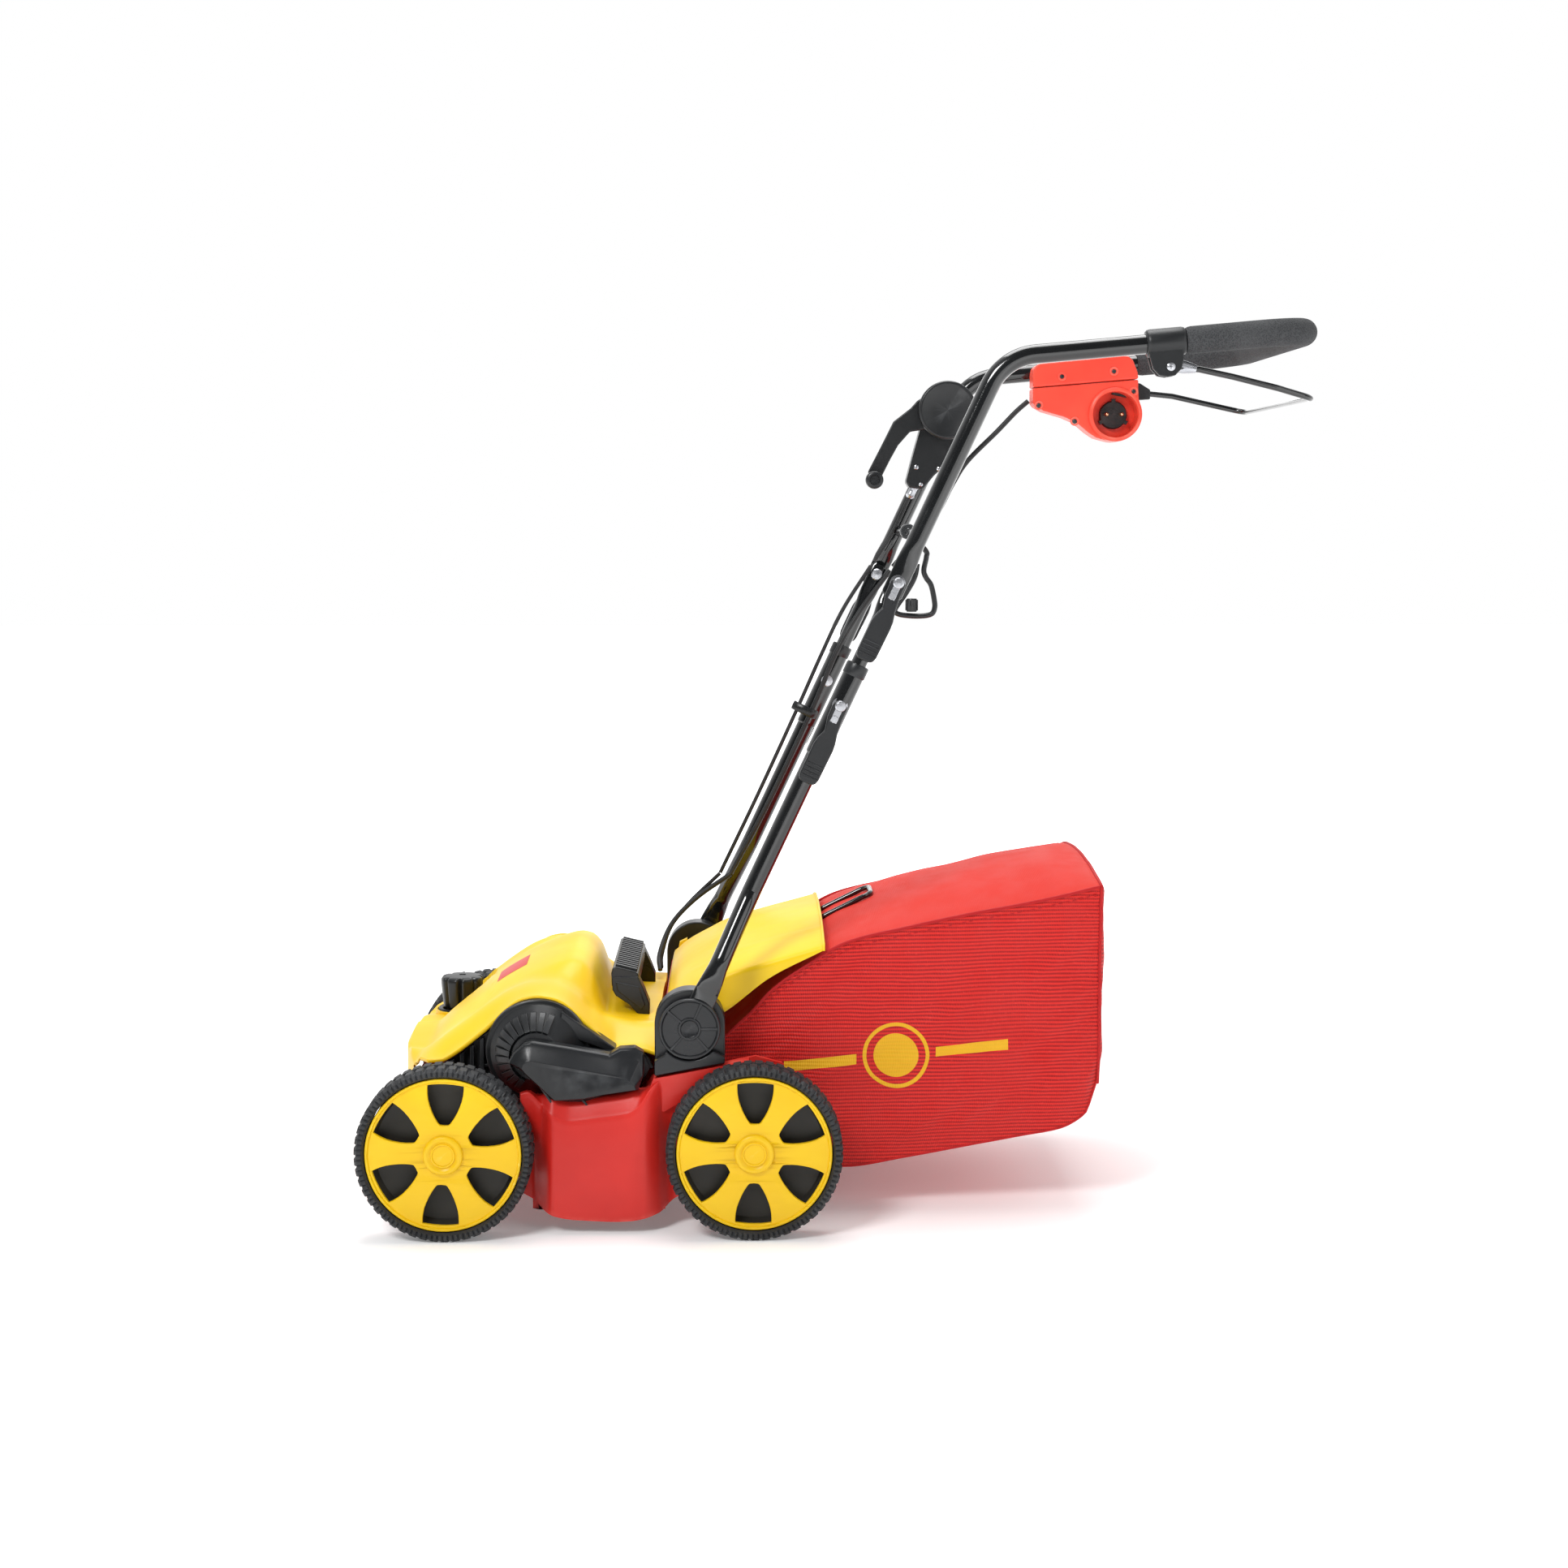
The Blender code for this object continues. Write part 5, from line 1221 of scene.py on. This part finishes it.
def cable_hook():
    x, z = flat2(along_handle(RAIL_AT))
    collar = [(3.9, -8), (8.4, -8), (9.4, -6.4), (9.4, 6.4), (8.4, 8), (3.9, 8)]
    loop = curve([(x + 4, 0, z - 4), (112, 0, 768), (113, 0, 760), (110, 0, 744), (113, 0, 735),
                  (119, 0, 726), (123, 0, 708), (123.4, 0, 698), (119, 0, 690.8), (104, 0, 688.6),
                  (84, 0, 690), (75.5, 0, 693.6), (77, 0, 700), (90, 0, 719), (99, 0, 736), (102, 0, 752)], 6)
    place("hook_loop", lathe((x, z), collar, 40) + tube(loop, [(4.2, 3.3)] * len(loop), 12), BLACK,
          "cable_hook", "cable_hook", sharp=50)
    button = spun((95.5, 0), [(AXIS, 694), (6, 694), (6.8, 696), (6.8, 708), (6, 710), (AXIS, 710.4)], 24)
    button += total(tube([(px, py, 695.5), (px, py, 708.5)], 0.9, 6) for px,
                    py in arc((95.5, 0), 6.9, 0, 30, 12))
    place("hook_stop", button, BLACK, "cable_hook", sharp=50)


def cable_pair(row, body, control, lead, steps):
    """One stretch of the thin control cable and the thicker mains lead, held on one body."""
    shape = tube(curve(control, steps), 2.5, 12) + tube(curve(lead, steps), 3.2, 14)
    place("cable_run_" + row, shape, CABLE, body, "cables_" + row, sharp=60)


def cables():
    upper = [(103.5, 176, 832), (84, 178, 790), (60, 178, 752)]
    lead = [(256, 176, 956), (240, 176, 942), (216, 176, 917), (179, 177, 880), (160, 180, 850),
            (136, 180, 806), (84, 178, 745)]
    cable_pair("upper", "handle_upper", upper, lead, 8)
    place("cable_clip_upper", clip((100, 179, 787)), BLACK, "handle_upper", bevel=0.5)
    lower = [(56, 188, 746), (20, 185, 690), (-8, 181, 632), (-40, 180, 560), (-90, 186, 450),
             (-140, 190, 345)]
    lead = [(81, 188, 740), (44, 187, 690), (12, 180, 636), (-20, 178, 560), (-76, 180, 440),
            (-126, 184, 345)]
    cable_pair("lower", "handle_lower", lower, lead, 8)
    place("cable_clip_lower", clip((-30, 179, 560)), BLACK, "handle_lower", bevel=0.5)
    slack = [(-140.5, 190, 344), (-180, 190, 306), (-205, 184, 274), (-216, 160, 242), (-216, 142, 228)]
    lead = [(-126.5, 184, 344), (-172, 183, 312), (-203, 168, 281), (-218, 138, 247), (-217, 120, 229)]
    cable_pair("slack", "root", slack, lead, 10)


def clip(centre):
    """A moulded strap that holds both cables on the arm."""
    x, y, z = centre
    c, s = math.cos(HANDLE_ANGLE), math.sin(HANDLE_ANGLE)
    bow = ((-16, 4), (-12, 0), (-4, -3.6), (4, -4.6), (12, -4.2), (17, 1))
    line = curve([(x + k * s, y + dy, z - k * c) for k, dy in bow], 4)
    return tube(line, [(1.6, 6.0)] * len(line), 8)


# ---------------------------------------------------------------- studio

# Name, place in metres, side of the square and watts
LIGHTS = [("key", (-1.6, -2.6, 2.9), 1.0, 78), ("fill", (2.4, -2.4, 1.6), 2.0, 22),
          ("top", (0.0, 0.4, 3.2), 1.8, 56), ("back", (0.6, 2.6, 1.8), 2.2, 10)]
AIM = (0, 0, 0.45)
# The photo's view, fitted to the wheels and the clamp bolts
CAMERA_AT, CAMERA_DOWN, CAMERA_TURN, CAMERA_LENS = (-0.1104, -2.8153, 0.8041), 0.1134, -0.018, 53.106
# Radius from and to which the floor's glow rises, and the glow at each, so that it meets the white behind it
FLOOR_GLOW = (0.9, 2.6, 0.14, 1.0)
SKY_SHADE = (-0.7, 0.6, 0.14, 1.0)  # grey in front, for dark reflections, to white behind


def studio():
    bpy.ops.mesh.primitive_plane_add(size=30.0)
    floor = bpy.context.object
    floor.name = "floor"
    n = Nodes("floor_paint")
    tone = n.mix(n.cloud(2.0, 3.0, 0.3, 0.7), (0.93, 0.93, 0.93), (0.955, 0.955, 0.955))
    n.bump(n.noise(120.0, 2.0), 0.0002, 0.1)
    n.shader.inputs["Emission Color"].default_value = (1.0, 1.0, 1.0, 1.0)
    x, y, z = n.split()
    reach = n.math("SQRT", n.math("ADD", n.times(x, x), n.times(y, y)))
    n.link(n.ramp(reach, *FLOOR_GLOW), n.shader.inputs["Emission Strength"])
    floor.data.materials.append(n.finish(tone, n.cloud(5.0, 2.0, 0.3, 0.7, 0.7, 0.8), specular=0.1))
    world = bpy.data.worlds.new("studio")
    world.use_nodes = True
    tree = world.node_tree
    sky = tree.nodes["Background"]
    sky.inputs["Strength"].default_value = 1.0
    place_of = tree.nodes.new("ShaderNodeTexCoord")
    part = tree.nodes.new("ShaderNodeSeparateXYZ")
    ramp = tree.nodes.new("ShaderNodeMapRange")
    ramp.interpolation_type = "SMOOTHSTEP"
    for socket, value in zip(list(ramp.inputs)[1:5], SKY_SHADE):
        socket.default_value = value
    tree.links.new(place_of.outputs["Generated"], part.inputs[0])
    tree.links.new(part.outputs["Y"], ramp.inputs[0])
    tree.links.new(ramp.outputs[0], sky.inputs["Color"])
    bpy.context.scene.view_settings.view_transform = "Standard"
    bpy.context.scene.world = world
    for name, spot, size, power in LIGHTS:
        lamp = bpy.data.lights.new(name, "AREA")
        lamp.shape, lamp.size, lamp.energy = "SQUARE", size, power
        item = bpy.data.objects.new(name, lamp)
        item.location = spot
        item.rotation_euler = (Vector(AIM) - Vector(spot)).to_track_quat("-Z", "Y").to_euler()
        bpy.context.collection.objects.link(item)
    lens = bpy.data.cameras.new("camera")
    lens.sensor_width, lens.lens = 36.0, CAMERA_LENS
    camera = bpy.data.objects.new("camera", lens)
    camera.location = CAMERA_AT
    camera.rotation_euler = (math.pi / 2 - CAMERA_DOWN, 0.0, CAMERA_TURN)
    bpy.context.collection.objects.link(camera)
    bpy.context.scene.camera = camera


for build in (studio, wheels, hood, flap, deck, drive_side, knob, carry_handle, pivots, underside, bag,
              lower_handle, clamp_levers, middle_handle, upper_handle, bail, switch_box, lever_box,
              cable_hook, cables):
    build()
